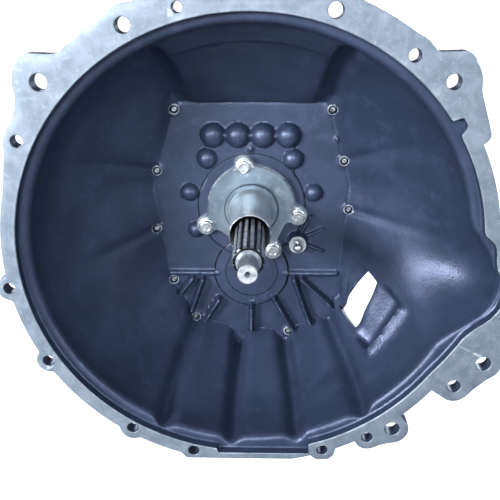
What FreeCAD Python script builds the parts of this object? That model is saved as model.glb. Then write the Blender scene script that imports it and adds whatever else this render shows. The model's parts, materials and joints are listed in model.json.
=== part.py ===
import FreeCAD, Part
import math
import os

from FreeCAD import Vector

# Six-speed in-line manual gearbox with an integral clutch (bell) housing.
# Frame: Y runs from the engine (front) to the propeller shaft (rear), Z is up and X is to the
# right when looking rearwards.  The origin is where the input shaft's axis meets the engine face.
# All lengths are in millimetres and all angles in degrees.

# ---------------------------------------------------------------- driving dimensions
# bell housing: engine flange and mouth
mouth_radius = 200.0          # opening of the engine flange
mouth_depth = 11.0            # straight part of the mouth
ledge_width = 9.0             # rounded ledge behind the mouth
flange_thick = 14.0
rim_width = 13.0              # flange beyond the mouth, at the sides and below
crown_rise = 12.0             # and this much more over the top
crown_share = 0.8             # the crown starts at this share of the mouth's radius
sump_reach = 9.0              # flat edge under the flange, beyond the mouth
rim_blend = 8.0               # fillet between the ears and the rim
# angle, reach beyond the mouth, bore and width of metal of each hole in the engine flange
flange_holes = (
    (116.8, 12.9, 12.5, 9.0),
    (104.9, 10.1, 8.5, 9.0),
    (71.8, 11.6, 12.5, 9.0),
    (52.7, 11.2, 10.5, 9.0),
    (42.8, 18.0, 12.5, 15.5),
    (138.3, 21.0, 14.0, 14.0),
    (152.0, 12.9, 10.5, 5.5),
    (188.4, 12.3, 10.5, 6.0),
    (209.4, 10.0, 10.5, 6.0),
    (237.8, 6.7, 10.5, 7.0),
    (255.2, 6.9, 10.5, 6.0),
    (289.5, 10.0, 10.5, 7.0),
    (301.5, 14.6, 10.5, 7.0),
    (308.0, 19.4, 14.0, 8.0),
    (326.2, 26.3, 12.5, 9.0),
    (334.3, 35.3, 14.0, 8.5),
)
shoulder_angle = 30.6         # flange shoulder under the upper right ear
shoulder_reach = 13.9
shoulder_radius = 12.0
key_slot_angle = 34.0         # small slot in the mouth's edge
key_slot_width = 10.0
key_slot_depth = 8.0
drip_left = -29.0             # flat-bottomed recess at the lowest point of the mouth
drip_right = 55.0
drip_depth = 3.0

# bell housing: bowl and front wall
bell_depth = 147.0            # engine face to the inner face of the front wall
wall_thick = 10.0             # front wall
skin_thick = 7.0              # wall of the bowl
bowl_curve = (0.0, 0.2, 0.42, 0.68, 1.0)   # stations of the bowl's curve from wall to ledge
ledge_round = 6.0
# corners of the front wall, seen from the engine, clockwise from the upper left
panel_corners = (
    (-75.0, 108.0), (76.0, 108.0), (101.0, 24.0), (93.0, -76.0), (97.0, -100.0),
    (66.0, -134.0), (36.0, -144.0), (-18.0, -141.0), (-40.0, -136.0),
    (-63.0, -122.0), (-88.0, -80.0), (-101.0, 24.0),
)
# flutes in the lower wall of the bowl: angle, depth at the front wall
flutes = ((-56.5, 12.0), (-76.5, 13.0), (-95.0, 20.0), (-115.0, 9.0))
flute_half_angle = 4.0
flute_mouth_depth = 7.0
outer_rib_thick = 7.0
outer_rib_root = 90.0         # inside the bowl, where the hollow cuts it off
outer_rib_inset = 60.0        # rear end of a gusset from the flange's rim
outer_rib_angles = (12.0, 62.0, 90.0, 118.0, 150.0, 172.0, 202.0, 228.0, 252.0, 288.0, 344.0)

# bell housing: starter pocket
pocket_angle = -9.1
pocket_inset = 23.8           # centre of the pocket inside the mouth's edge
pocket_radius = 48.0
pocket_depth = 88.0
pocket_rim = 15.0

# bell housing: clutch fork window
window_angle = -38.5
window_length = 56.0
window_width = 34.0
window_rear_gap = 8.0         # between the window and the front wall's inner face
collar_width = 7.0
collar_reach = 30.0           # collar's outer face beyond the front wall's outline
collar_root = 16.0
window_corner = 5.0

# bell housing: bosses and ribs on the front wall
dome_radius = 13.0            # over the shift rails
# further round bosses: x, z, radius
small_domes = (
    (-45.5, 51.0, 11.0), (42.5, 51.0, 11.0), (-64.5, 15.0, 9.7),
    (64.5, 15.0, 9.7), (-58.5, -26.0, 9.0), (-1.0, 60.0, 6.0), (89.5, 72.0, 7.0),
)
seat_radius = 56.0            # raised round seat of the retainer
seat_height = 3.0
plug_radius = 39.5            # raised disc in front of the countershaft
plug_height = 4.0
plug_groove_radius = 28.0
plug_groove = 1.6
fan_rib_thick = 5.0
fan_rib_height = 13.0
# ribs below the plug disc: start and end, x and z
fan_ribs = (
    ((-64.0, -81.0), (-83.0, -106.0)), ((-53.0, -82.0), (-68.0, -126.0)),
    ((-36.0, -106.0), (-58.0, -143.0)), ((0.0, -112.0), (0.0, -166.0)),
    ((25.0, -104.0), (48.0, -147.0)), ((46.0, -81.0), (64.0, -134.0)),
    ((54.0, -81.0), (90.0, -117.0)),
)
rib_draft = 1.5
saddle_radius = 7.0
stud_rib_angles = (27.0, -22.0, 64.0)
stud_rib_length = 30.0
stud_rib_height = 5.0
stud_rib_thick = 3.0
step_rib_z = -76.0            # level ribs beside the plug disc
step_rib_thick = 5.0
step_rib_height = 5.0
step_rib_length = 56.0
stud_boss = 8.0
case_bolt_ring = 8.0
case_bolt_ring_height = 3.0

# geometry of the shafts
centre_distance = 74.0        # mainshaft to countershaft
rail_height = 75.0
rail_spread = 25.5
rail_middle = -1.2
rail_diameter = 14.0

# clutch guide tube and bearing retainer
retainer_thick = 8.0
retainer_radius = 46.0
retainer_step_radius = 28.0
retainer_step = 6.0
guide_diameter = 40.0
guide_bore = 34.0
guide_front = 54.5            # front end of the tube behind the engine face
guide_edge = 1.0
guide_foot = 12.0             # cone between the tube and the plate
guide_foot_width = 3.0
seal_inset = 3.0              # seal's seat is wider than the tube's bore
retainer_bolts_at = ((-8.0, 45.0), (-47.0, -19.0), (48.0, -8.0), (22.5, -46.0))
retainer_ear = 10.5
retainer_blend = 5.0
retainer_chamfer = 1.5
retainer_cut = 40.0           # flats of the plate beside the countershaft
retainer_cut_angles = (236.0, 336.0)
retainer_bolt = 8.0
ball_stud_x = 48.5
ball_stud_z = -38.0
ball_stud_radius = 5.0
ball_stud_reach = 24.0        # ball centre in front of the front wall
ball_stud_base = 13.0

# bolts between the bell housing and the gear case: x, z
case_bolts_at = (
    (-77.5, 101.0), (80.5, 101.0), (94.5, 49.0), (101.5, -3.0), (-97.5, 38.0),
    (-100.5, -25.0), (-84.5, -84.0), (-61.5, -129.0), (41.5, -146.0),
)
case_bolt = 8.0
dowels_at = ((-90.0, 72.0), (74.0, -126.0))
dowel_diameter = 10.0
dowel_length = 14.0

# gear case
case_wall = 6.0
case_rear_wall = 10.0
case_flange = 12.0
case_lug = 11.0
# outline of the gear case, clockwise from the upper left
case_corners = (
    (-66.0, 106.0), (72.0, 106.0), (88.0, 52.0), (94.0, 0.0), (76.0, -84.0),
    (68.0, -128.0), (34.0, -148.0), (-34.0, -148.0), (-66.0, -112.0), (-88.0, -28.0), (-85.0, 40.0),
)
case_corner = 12.0
case_rib_thick = 5.0
case_rib_height = 5.0
case_rib_gap = 40.0

# rear cover and output
cover_flange_radius = 80.0
cover_flange = 10.0
cover_length = 92.0
cover_wall = 6.0
cover_front_radius = 62.0
cover_rear_radius = 36.0
cover_bolt = 8.0
cover_bolt_count = 7
flange_radius = 50.0
output_flange_thick = 9.0
output_hub_radius = 22.0
output_bolt_circle = 39.0
output_bolt = 10.0
output_bolt_count = 4
nut_across = 30.0
nut_height = 12.0
nut_recess = 8.0
output_reach = 14.0           # flange face behind the rear cover
output_hub_length = 36.0

# gears: every mating pair has the same sum of teeth
tooth_sum = 46
head_teeth = 19               # on the input shaft
speed_teeth = {"sixth": 17, "fourth": 21, "third": 24, "second": 28, "first": 33}
reverse_teeth = 28
reverse_pinion_teeth = 13
idler_teeth = 16
gear_width = 16.0
backlash = 0.5
gear_side_gap = 2.0
hub_width = 22.0
sleeve_width = 16.0
sleeve_travel = 4.5
running_gap = 0.3
hub_radius = 33.0
sleeve_radius = 42.0
fork_groove = 6.0
fork_groove_depth = 3.0
fork_gap = 0.35
fork_thick = 8.0

# shafts
spline_count = 14
spline_diameter = 28.5
spline_root = 25.4
spline_front = -10.5
pilot_diameter = 17.0
pilot_front = -37.0
shaft_chamfer = 2.0
input_body = 26.0             # input shaft inside the guide tube
input_journal = 30.0
main_diameter = 30.0
main_pilot = 16.0
counter_journal = 25.0
counter_body = 34.0
idler_shaft = 16.0
output_end = 24.0
thread_end = 18.0

# bearings: outer diameter, width
main_bearing = 72.0
main_bearing_width = 19.0
counter_bearing = 52.0
counter_bearing_width = 15.0
ring_thick = 4.0
roller_gap = 0.3
roller_count = 9
bearing_boss = 8.0
pilot_roller = 3.0
seal_width = 8.0
plug_thread = 18.0
plug_head = 24.0
plug_length = 14.0

# bolt heads, in bolt diameters; the flange under the head in millimetres
bolt_head_share = 0.75
bolt_corner_share = 0.86
bolt_flange = 1.5

# fits
slide_gap = 0.05              # bolt or pin in its hole
clear_gap = 0.5               # bolt through a clearance hole
end_float = 0.5               # behind a bearing
seat_lip = 4.0                # shoulder that a bearing rests on
counter_inset = 3.0           # front bearing of the countershaft behind the wall's inner face
rail_pocket = 5.0             # depth of the rails' holes in the domes
blind = 3.0                   # metal left behind a blind hole
past = 1.0                    # joined and cut forms run past a face by this
through = 30.0                # cutters of holes run past the metal by this

# ---------------------------------------------------------------- values that follow from them
wall_rear = bell_depth + wall_thick                     # parting face of bell housing and case
module = 2.0 * centre_distance / tooth_sum
addendum = 0.9 * module
dedendum = 1.15 * module
ledge_radius = mouth_radius - ledge_width
rim_radius = mouth_radius + rim_width
crown_radius = rim_radius + crown_rise
crown_height = crown_share * mouth_radius
sump_height = -mouth_radius - sump_reach
rail_x = [rail_middle + rail_spread * (i - 1.5) for i in range(4)]
head_front = wall_rear + bearing_boss + 3.0 + gear_side_gap
retainer_front = bell_depth - seat_height - retainer_thick
speed_pinions = {name: tooth_sum - teeth for name, teeth in speed_teeth.items()}


def gear_fronts():
    """Front face of every gear and hub along the main axis, in order."""
    places = {}
    y = head_front
    order = ("head", "hub_5_6", "sixth", "fourth", "hub_3_4", "third", "second", "hub_1_2", "first",
             "hub_reverse", "reverse")
    for name in order:
        places[name] = y
        y += (hub_width if name.startswith("hub") else gear_width) + gear_side_gap
    return places


fronts = gear_fronts()
hubs = [name for name in fronts if name.startswith("hub")]
rear_seat = fronts["reverse"] + gear_width + gear_side_gap + 4.0
case_rear = rear_seat + main_bearing_width + 0.5
case_inside_rear = case_rear - case_rear_wall
cover_rear = case_rear + cover_length
cover_bolt_circle = cover_flange_radius - cover_bolt
output_face = cover_rear + output_reach


# ---------------------------------------------------------------- helpers
def cylinder(radius, front, rear, x=0.0, z=0.0):
    """Solid cylinder along Y."""
    return Part.makeCylinder(radius, rear - front, Vector(x, front, z), Vector(0, 1, 0))


def tube(outer, inner, front, rear, x=0.0, z=0.0):
    """Hollow cylinder along Y."""
    return cylinder(outer, front, rear, x, z).cut(cylinder(inner, front, rear, x, z))


def turned(profile, x=0.0, z=0.0):
    """Solid turned about an axis along Y from (radius, y) points."""
    points = [Vector(radius, y, 0) for radius, y in profile]
    face = Part.Face(Part.makePolygon(points + points[:1]))
    solid = face.revolve(Vector(0, 0, 0), Vector(0, 1, 0), 360)
    solid.translate(Vector(x, 0, z))
    return solid


def outline(corners, y, corner_radius=0.0):
    """Closed wire through (x, z) corners in the plane at y, with rounded corners."""
    points = [Vector(x, y, z) for x, z in corners]
    if corner_radius == 0.0:
        return Part.makePolygon(points + points[:1])
    edges = []
    ends = []
    for i, corner in enumerate(points):
        before = (points[i - 1] - corner).normalize()
        after = (points[(i + 1) % len(points)] - corner).normalize()
        half = before.getAngle(after) / 2.0
        reach = corner_radius / math.tan(half)
        inward = (before + after).normalize()
        middle = corner + inward * (corner_radius / math.sin(half) - corner_radius)
        ends.append((corner + before * reach, middle, corner + after * reach))
    for i, (start, middle, end) in enumerate(ends):
        edges.append(Part.Arc(start, middle, end).toShape())
        edges.append(Part.makeLine(end, ends[(i + 1) % len(ends)][0]))
    return Part.Wire(edges)


def prism(wire, length):
    """Solid from a closed wire carried rearwards."""
    return Part.Face(wire).extrude(Vector(0, length, 0))


def grown(corners, margin):
    """The (x, z) corners moved out along the mitre by a margin."""
    moved = []
    for i, (x, z) in enumerate(corners):
        here = Vector(x, 0, z)
        back = here - Vector(corners[i - 1][0], 0, corners[i - 1][1])
        ahead = Vector(corners[(i + 1) % len(corners)][0], 0, corners[(i + 1) % len(corners)][1]) - here
        back_normal = Vector(-back.z, 0, back.x).normalize()
        ahead_normal = Vector(-ahead.z, 0, ahead.x).normalize()
        mitre = (back_normal + ahead_normal).normalize()
        here = here + mitre * (margin / mitre.dot(back_normal))
        moved.append((here.x, here.z))
    return moved


def polar(radius, angle):
    """The (x, z) place at a radius and angle round the shaft axis."""
    return radius * math.cos(math.radians(angle)), radius * math.sin(math.radians(angle))


hole_places = [polar(mouth_radius + reach, angle) + (bore, metal)
               for angle, reach, bore, metal in flange_holes]
pocket_x, pocket_z = polar(mouth_radius - pocket_inset, pocket_angle)


def turned_box(inner, outer, width, front, rear, angle, x=0.0, z=0.0):
    """Box that runs out from an axis along Y at an angle."""
    box = Part.makeBox(outer - inner, rear - front, width, Vector(inner, front, -width / 2.0))
    box.rotate(Vector(0, 0, 0), Vector(0, 1, 0), -angle)
    box.translate(Vector(x, 0, z))
    return box


def joined(solids):
    """One solid from several that overlap."""
    return solids[0].multiFuse(solids[1:]).removeSplitter()


def hull_of_discs(first, second, thickness):
    """Plate round two discs (x, z, radius) and the tangents between them."""
    start = Vector(first[0], 0, first[1])
    end = Vector(second[0], 0, second[1])
    along = (end - start).normalize()
    across = Vector(-along.z, 0, along.x)
    corners = [start + across * first[2], end + across * second[2],
               end - across * second[2], start - across * first[2]]
    plate = Part.Face(Part.makePolygon(corners + corners[:1])).extrude(Vector(0, thickness, 0))
    discs = [cylinder(first[2], 0, thickness, first[0], first[1]),
             cylinder(second[2], 0, thickness, second[0], second[1])]
    return plate.multiFuse(discs)


# ---------------------------------------------------------------- bell housing
def engine_flange():
    """Flange plate: rim, crown and an ear round each hole, blended into one outline."""
    rim = cylinder(rim_radius, 0, flange_thick)
    crown = cylinder(crown_radius, 0, flange_thick)
    low = Part.makeBox(4 * rim_radius, flange_thick, 2 * rim_radius,
                       Vector(-2 * rim_radius, 0, crown_height - 2 * rim_radius))
    plates = [rim, crown.cut(low)]
    ears = [(x, z, bore / 2.0 + metal) for x, z, bore, metal in hole_places]
    shoulder = polar(mouth_radius + shoulder_reach, shoulder_angle) + (shoulder_radius,)
    for x, z, radius in ears:
        plates.append(cylinder(radius, 0, flange_thick, x, z))
    plates.append(hull_of_discs(ears[4], shoulder, flange_thick))
    plates.append(hull_of_discs(ears[5], ears[6], flange_thick))
    plates.append(hull_of_discs(ears[14], ears[15], flange_thick))
    plates.append(cylinder(pocket_radius + pocket_rim, 0, flange_thick, pocket_x, pocket_z))
    plate = rim.multiFuse(plates[1:]).removeSplitter()
    face = min(plate.Faces, key=lambda f: f.CenterOfMass.y)
    edge = face.OuterWire.makeOffset2D(rim_blend).makeOffset2D(-rim_blend)
    plate = prism(edge, flange_thick)
    below = Part.makeBox(2 * rim_radius, flange_thick, rim_radius,
                         Vector(-rim_radius, 0, sump_height - rim_radius))
    return plate.cut(below)


def corner_stations():
    """Angle and reach of the front wall's corners, in the order of their angle."""
    return sorted((math.degrees(math.atan2(z, x)), math.hypot(x, z)) for x, z in panel_corners)


def wall_reach(angle):
    """Reach of the front wall's outline at an angle, between its two corners there."""
    corners = corner_stations()
    before = max(corner for corner in corners if corner[0] < angle)
    after = min(corner for corner in corners if corner[0] > angle)
    share = (angle - before[0]) / (after[0] - before[0])
    return before[1] + share * (after[1] - before[1])


def bowl_stations():
    """Stations round the bowl: angle, reach of the front wall's outline, 1 at a flute's bottom."""
    stations = [(angle, reach, 0.0) for angle, reach in corner_stations()]
    for angle, depth in flutes:
        reach = wall_reach(angle)
        stations += [(angle - flute_half_angle, reach, 0.0), (angle, reach + depth, 1.0),
                     (angle + flute_half_angle, reach, 0.0)]
    return sorted(stations)


def bowl_section(stations, share, y, ledge, margin):
    """Closed wire of the bowl: share 0 is the front wall's outline, share 1 is the ledge's circle."""
    ring = [(angle, reach * (1.0 - share) + (ledge + flute_mouth_depth * flute) * share + margin)
            for angle, reach, flute in stations]
    edges = []
    for i, (angle, reach) in enumerate(ring):
        following, far = ring[(i + 1) % len(ring)]
        following += 360.0 if following < angle else 0.0
        x, z = polar(reach, angle)
        end_x, end_z = polar(far, following)
        arc_x, arc_z = polar((reach + far) / 2.0, (angle + following) / 2.0)
        middle = Vector((x + end_x) / 2.0 * (1.0 - share) + arc_x * share, y,
                        (z + end_z) / 2.0 * (1.0 - share) + arc_z * share)
        start, end = Vector(x, y, z), Vector(end_x, y, end_z)
        bulge = (middle - (start + end) * 0.5).Length
        edges.append(Part.makeLine(start, end) if bulge < 0.001 else Part.Arc(start, middle, end).toShape())
    return Part.Wire(edges)


def bowl(margin, front, rear, ledge_start):
    """Bowl from the ledge to the front wall: curved along the shaft, fluted below."""
    stations = bowl_stations()
    sections = [bowl_section(stations, 1.0, front, ledge_start, margin)]
    run = bell_depth - mouth_depth - ledge_round
    for t in reversed(bowl_curve):
        share = math.sin(math.pi / 2.0 * t)
        y = bell_depth - t * run
        sections.append(bowl_section(stations, share, y, ledge_radius, margin))
    if rear > bell_depth:
        sections.append(bowl_section(stations, 0.0, rear, ledge_radius, margin))
    return Part.makeLoft(sections, True, True)


def egg(x, z, radius, depth, front):
    """Half an egg that closes rearwards, with a straight neck that starts at front."""
    curve = Part.Ellipse(Vector(0, depth, 0), Vector(radius, 0, 0), Vector(0, 0, 0))
    side = Vector(radius, 0, 0)
    rear = Vector(0, depth, 0)
    corners = [rear, Vector(0, front, 0), Vector(radius, front, 0), side]
    edges = [Part.Arc(curve, 0.0, math.pi / 2.0).toShape()]
    edges += [Part.makeLine(first, second) for first, second in zip(corners[:-1], corners[1:])]
    profile = Part.Face(Part.Wire(Part.__sortEdges__(edges)))
    solid = profile.revolve(Vector(0, 0, 0), Vector(0, 1, 0), 360)
    solid.translate(Vector(x, 0, z))
    return solid


def fork_window(grow, inner, outer):
    """Block along the clutch fork through the lower right wall, with rounded ends."""
    rear = bell_depth - window_rear_gap + grow
    front = bell_depth - window_rear_gap - window_width - grow
    block = turned_box(inner, outer, window_length + 2 * grow, front, rear, window_angle)
    radial = [e for e in block.Edges if abs(e.Length - (outer - inner)) < 0.01]
    return block.makeFillet(window_corner + grow, radial)


def inside_of_bell():
    """Everything that the bell housing leaves open: mouth, ledge, bowl, starter pocket, slots."""
    mouth = cylinder(mouth_radius, -past, mouth_depth)
    room = bowl(0.0, mouth_depth - past, bell_depth, ledge_radius + ledge_round)
    pocket = egg(pocket_x, pocket_z, pocket_radius, pocket_depth, -past)
    slot = turned_box(mouth_radius - key_slot_depth, mouth_radius + key_slot_depth, key_slot_width,
                      -past, flange_thick + past, key_slot_angle)
    drip = Part.makeBox(drip_right - drip_left, mouth_depth + past, mouth_radius / 2.0,
                        Vector(drip_left, -past, -mouth_radius - drip_depth))
    return mouth.multiFuse([room, pocket, slot, drip])


def drafted_rib(start, end, thick, height):
    """Rib on the front wall between two (x, z) places, thinner at its back."""
    first, second = Vector(start[0], 0, start[1]), Vector(end[0], 0, end[1])
    along = second - first
    across = Vector(-along.z, 0, along.x).normalize()
    root, back = (thick + rib_draft) / 2.0, (thick - rib_draft) / 2.0
    face, top = bell_depth + past, bell_depth - height
    profile = [first + across * offset + Vector(0, y, 0)
               for offset, y in ((root, face), (back, top), (-back, top), (-root, face))]
    return Part.Face(Part.makePolygon(profile + profile[:1])).extrude(along)


def wall_ribs():
    """Ribs of the front wall: the fan, the level ribs beside the plug disc and the stud's ribs."""
    ribs = [drafted_rib(start, end, fan_rib_thick, fan_rib_height) for start, end in fan_ribs]
    for side in (-1.0, 1.0):
        start = (side * (plug_radius - step_rib_thick), step_rib_z)
        end = (side * (plug_radius + step_rib_length), step_rib_z)
        ribs.append(drafted_rib(start, end, step_rib_thick, step_rib_height))
    for angle in stud_rib_angles:
        x, z = polar(stud_rib_length, angle)
        ribs.append(drafted_rib((ball_stud_x, ball_stud_z), (ball_stud_x + x, ball_stud_z + z),
                                stud_rib_thick, stud_rib_height))
    return ribs


def front_wall_forms():
    """Domes, seats and ribs that stand on the inner face of the front wall."""
    face = bell_depth
    domes = [(x, rail_height, dome_radius) for x in rail_x] + list(small_domes)
    domes += [((first + second) / 2.0, rail_height, saddle_radius)
              for first, second in zip(rail_x[:-1], rail_x[1:])]
    forms = [Part.makeSphere(radius, Vector(x, face, z)) for x, z, radius in domes]
    forms.append(cylinder(seat_radius, face - seat_height, face + past))
    forms.append(cylinder(plug_radius, face - plug_height, face + past, 0, -centre_distance))
    for x, z in case_bolts_at:
        forms.append(cylinder(case_bolt_ring, face - case_bolt_ring_height, face + past, x, z))
    boss = face - ball_stud_base
    forms.append(turned([(0, face + past), (0, boss), (stud_boss, boss), (1.5 * stud_boss, face + past)],
                        ball_stud_x, ball_stud_z))
    room = bowl(skin_thick / 2.0, mouth_depth, face + past, ledge_radius)
    return forms[0].multiFuse(forms[1:] + wall_ribs()).common(room)


def outer_ribs():
    """Gussets between the engine flange and the parting flange, on the outside of the bowl."""
    front, rear = flange_thick - past, wall_rear - 2.0 * past
    profile = [(outer_rib_root, front), (rim_radius - 4.0 * past, front),
               (rim_radius - 6.0 * past, front + ledge_width),
               (rim_radius - outer_rib_inset, rear), (outer_rib_root, rear)]
    points = [Vector(r, y, -outer_rib_thick / 2.0) for r, y in profile]
    gusset = Part.Face(Part.makePolygon(points + points[:1])).extrude(Vector(0, 0, outer_rib_thick))
    ribs = []
    for angle in outer_rib_angles:
        rib = gusset.copy()
        rib.rotate(Vector(0, 0, 0), Vector(0, 1, 0), -angle)
        ribs.append(rib)
    return ribs


def bell_bores():
    """Bearing seats, rail ends, bolt and dowel holes."""
    main, counter = main_bearing / 2.0, counter_bearing / 2.0
    crest = bell_depth - plug_height
    bores = [cylinder(main, bell_depth - end_float, wall_rear + through),
             cylinder(main - seat_lip, 0, wall_rear),
             cylinder(counter, bell_depth + counter_inset, wall_rear + through, 0, -centre_distance),
             turned([(plug_groove_radius - plug_groove, crest - past),
                     (plug_groove_radius + plug_groove, crest - past),
                     (plug_groove_radius, crest + plug_groove)], 0, -centre_distance)]
    holes = [(x, rail_height, rail_diameter / 2.0 + slide_gap, bell_depth - rail_pocket, wall_rear + past)
             for x in rail_x]
    holes += [(x, z, case_bolt / 2.0 + slide_gap, bell_depth - through, wall_rear + past)
              for x, z in case_bolts_at]
    holes += [(x, z, dowel_diameter / 2.0, wall_rear - dowel_length / 2.0, wall_rear + past)
              for x, z in dowels_at]
    holes += [(x, z, bore / 2.0, -past, flange_thick + through) for x, z, bore, _ in hole_places]
    holes += [(x, z, retainer_bolt / 2.0 + slide_gap, bell_depth - through, wall_rear - blind)
              for x, z in retainer_bolts_at]
    holes.append((ball_stud_x, ball_stud_z, ball_stud_radius + slide_gap, bell_depth - through,
                  wall_rear - blind))
    return bores + [cylinder(radius, front, rear, x, z) for x, z, radius, front, rear in holes]


def bell_housing():
    """The clutch housing casting with its integral front wall."""
    shell = bowl(skin_thick, flange_thick - skin_thick, wall_rear, ledge_radius + ledge_round)
    blister = egg(pocket_x, pocket_z, pocket_radius + skin_thick, pocket_depth + skin_thick, past)
    lugs = [cylinder(case_lug, wall_rear - case_flange, wall_rear, x, z) for x, z in case_bolts_at]
    bosses = [cylinder(main_bearing / 2.0 + bearing_boss, wall_rear - past, wall_rear + bearing_boss),
              cylinder(counter_bearing / 2.0 + bearing_boss - 2.0 * past, wall_rear - past,
                       wall_rear + bearing_boss, 0, -centre_distance)]
    wall = wall_reach(window_angle)
    collar = fork_window(collar_width, wall - collar_root, wall + collar_reach)
    body = engine_flange().multiFuse([shell, blister, collar] + lugs + bosses + outer_ribs())
    body = body.cut(inside_of_bell()).fuse(front_wall_forms())
    body = body.cut(fork_window(0.0, wall - 2.0 * collar_root, rim_radius + through))
    return body.cut(Part.makeCompound(bell_bores()))


# ---------------------------------------------------------------- clutch side
def retainer_plate(front):
    """Plate of the retainer: a disc with an ear for each bolt and two flats, chamfered in front."""
    discs = [cylinder(retainer_radius, front, front + retainer_thick)]
    for x, z in retainer_bolts_at:
        discs.append(cylinder(retainer_ear, front, front + retainer_thick, x, z))
    plate = discs[0].multiFuse(discs[1:]).removeSplitter()
    rear = front + retainer_thick + past
    ears = Part.makeCompound([cylinder(retainer_ear, front - past, rear, x, z)
                              for x, z in retainer_bolts_at])
    for angle in retainer_cut_angles:
        flat = turned_box(retainer_cut, 2 * retainer_radius, retainer_radius, front - past, rear, angle)
        plate = plate.cut(flat.cut(ears))
    face = min(plate.Faces, key=lambda f: f.CenterOfMass.y)
    edge = face.OuterWire.makeOffset2D(retainer_blend).makeOffset2D(-retainer_blend)
    inner = edge.makeOffset2D(-retainer_chamfer)
    edge.translate(Vector(0, retainer_chamfer, 0))
    body = prism(edge, retainer_thick - retainer_chamfer)
    return body.fuse(Part.makeLoft([inner, edge], True, True)).removeSplitter()


def front_retainer():
    """Bearing retainer plate with the guide tube of the clutch release bearing."""
    guide = guide_diameter / 2.0
    front = retainer_front
    plate = retainer_plate(front)
    bore = guide_bore / 2.0
    crest = front - retainer_step
    rear = front + retainer_thick + past
    step = turned([(guide - guide_edge, front + past), (guide - guide_edge, guide_front + past),
                   (guide, guide_front + past + guide_edge), (guide, front - guide_foot),
                   (guide + guide_foot_width, crest), (retainer_step_radius - retainer_chamfer, crest),
                   (retainer_step_radius, crest + retainer_chamfer), (retainer_step_radius, front + past)])
    body = plate.fuse(step)
    inside = turned([(0, guide_front - past), (bore, guide_front - past), (bore, front - past),
                     (bore + seat_lip, rear), (0, rear)])
    holes = [cylinder(retainer_bolt / 2.0 + clear_gap, front - past, rear, x, z)
             for x, z in retainer_bolts_at]
    seal_room = cylinder(bore + seal_inset, front - seal_width, rear)
    return body.cut(Part.makeCompound(holes)).cut(inside).cut(seal_room)


def flanged_bolt(diameter, head_front, tip, x, z):
    """Hexagon bolt with a flange under its head; the shank runs from the head's end to the tip."""
    sign = 1.0 if tip > head_front else -1.0
    head = bolt_head_share * diameter
    under = head_front + sign * head
    corners = [polar(bolt_corner_share * diameter, 60.0 * i + 30.0) for i in range(6)]
    hexagon = outline([(x + cx, z + cz) for cx, cz in corners], min(head_front, under))
    start, end = sorted((under - sign * bolt_flange, under))
    skirt = cylinder(diameter, start, end, x, z)
    start, end = sorted((under - sign * past, tip))
    shank = cylinder(diameter / 2.0, start, end, x, z)
    return joined([prism(hexagon, head), skirt, shank])


def retainer_bolts():
    """The four bolts of the bearing retainer."""
    head_at = retainer_front - bolt_head_share * retainer_bolt
    return Part.makeCompound([flanged_bolt(retainer_bolt, head_at, wall_rear - blind - past, x, z)
                              for x, z in retainer_bolts_at])


def fork_pivot():
    """Ball stud on which the clutch fork rocks."""
    ball = bell_depth - ball_stud_reach
    base = bell_depth - ball_stud_base
    rear = wall_rear - blind - past
    neck = 0.6 * ball_stud_radius
    collar = stud_boss + past
    body = turned([(0, rear), (0, ball), (neck, ball), (neck, base - neck), (collar, base - neck),
                   (collar, base), (ball_stud_radius, base), (ball_stud_radius, rear)],
                  ball_stud_x, ball_stud_z)
    return body.fuse(Part.makeSphere(ball_stud_radius, Vector(ball_stud_x, ball, ball_stud_z)))


def splined(diameter, root, count, front, rear):
    """Spline: a root cylinder with straight-sided teeth in a ring."""
    radius = diameter / 2.0
    tooth = math.pi * radius / count
    corners = []
    for i in range(count):
        middle = 360.0 * i / count
        wide = math.degrees(0.6 * tooth / (root / 2.0))
        narrow = math.degrees(0.42 * tooth / radius)
        corners += [polar(root / 2.0, middle + wide), polar(radius, middle + narrow),
                    polar(radius, middle - narrow), polar(root / 2.0, middle - wide)][::-1]
    return prism(outline(corners, front), rear - front)


def seal(inner, outer, front, rear):
    """Radial lip seal: a ring with a lip that leans inwards."""
    lip = turned([(inner, rear - 2), (inner + 1.5, rear - past), (outer - 2, rear - past), (outer - 2, front + past),
                  (inner + 3, front + past), (inner + 3, front), (outer, front), (outer, rear), (inner + 1, rear)])
    return lip


# ---------------------------------------------------------------- gears and shafts
def gear(teeth, front, width, phase, x=0.0, z=0.0):
    """Gear blank with straight-flanked teeth; one tooth points along the phase angle."""
    pitch = module * teeth / 2.0
    outer, root = pitch + addendum, pitch - dedendum
    half_pitch = (math.pi * module / 2.0 - backlash) / 2.0
    tip = math.degrees((half_pitch - addendum * math.tan(math.radians(22))) / outer)
    foot = math.degrees((half_pitch + dedendum * math.tan(math.radians(15))) / root)
    corners = []
    for i in range(teeth):
        middle = phase + 360.0 * i / teeth
        corners += [polar(root, middle + foot), polar(outer, middle + tip),
                    polar(outer, middle - tip), polar(root, middle - foot)][::-1]
    return prism(outline([(x + cx, z + cz) for cx, cz in corners], front), width)


upper_phase = -90.0           # of a gear on the main axis: a tooth points down at the countershaft


def lower_phase(teeth):
    """Phase of its mate on the countershaft: a gap points up."""
    return 90.0 + 180.0 / teeth


def idler_place():
    """Axis of the reverse idler, which meshes with both reverse gears."""
    to_main = module * (reverse_teeth + idler_teeth) / 2.0
    to_counter = module * (reverse_pinion_teeth + idler_teeth) / 2.0
    z = (to_counter ** 2 - to_main ** 2 - centre_distance ** 2) / (2.0 * centre_distance)
    return math.sqrt(to_main ** 2 - z ** 2), z


def reverse_phases():
    """Phases of the reverse pinion, the idler and the reverse gear, in mesh."""
    x, z = idler_place()
    from_counter = math.degrees(math.atan2(z + centre_distance, x))
    from_main = math.degrees(math.atan2(z, x))
    idler = from_counter + 180.0 + 180.0 / idler_teeth
    offset = ((idler - (from_main + 180.0)) / (360.0 / idler_teeth)) % 1.0
    main = from_main - (offset + 0.5) * 360.0 / reverse_teeth
    return from_counter, idler, main


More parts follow.
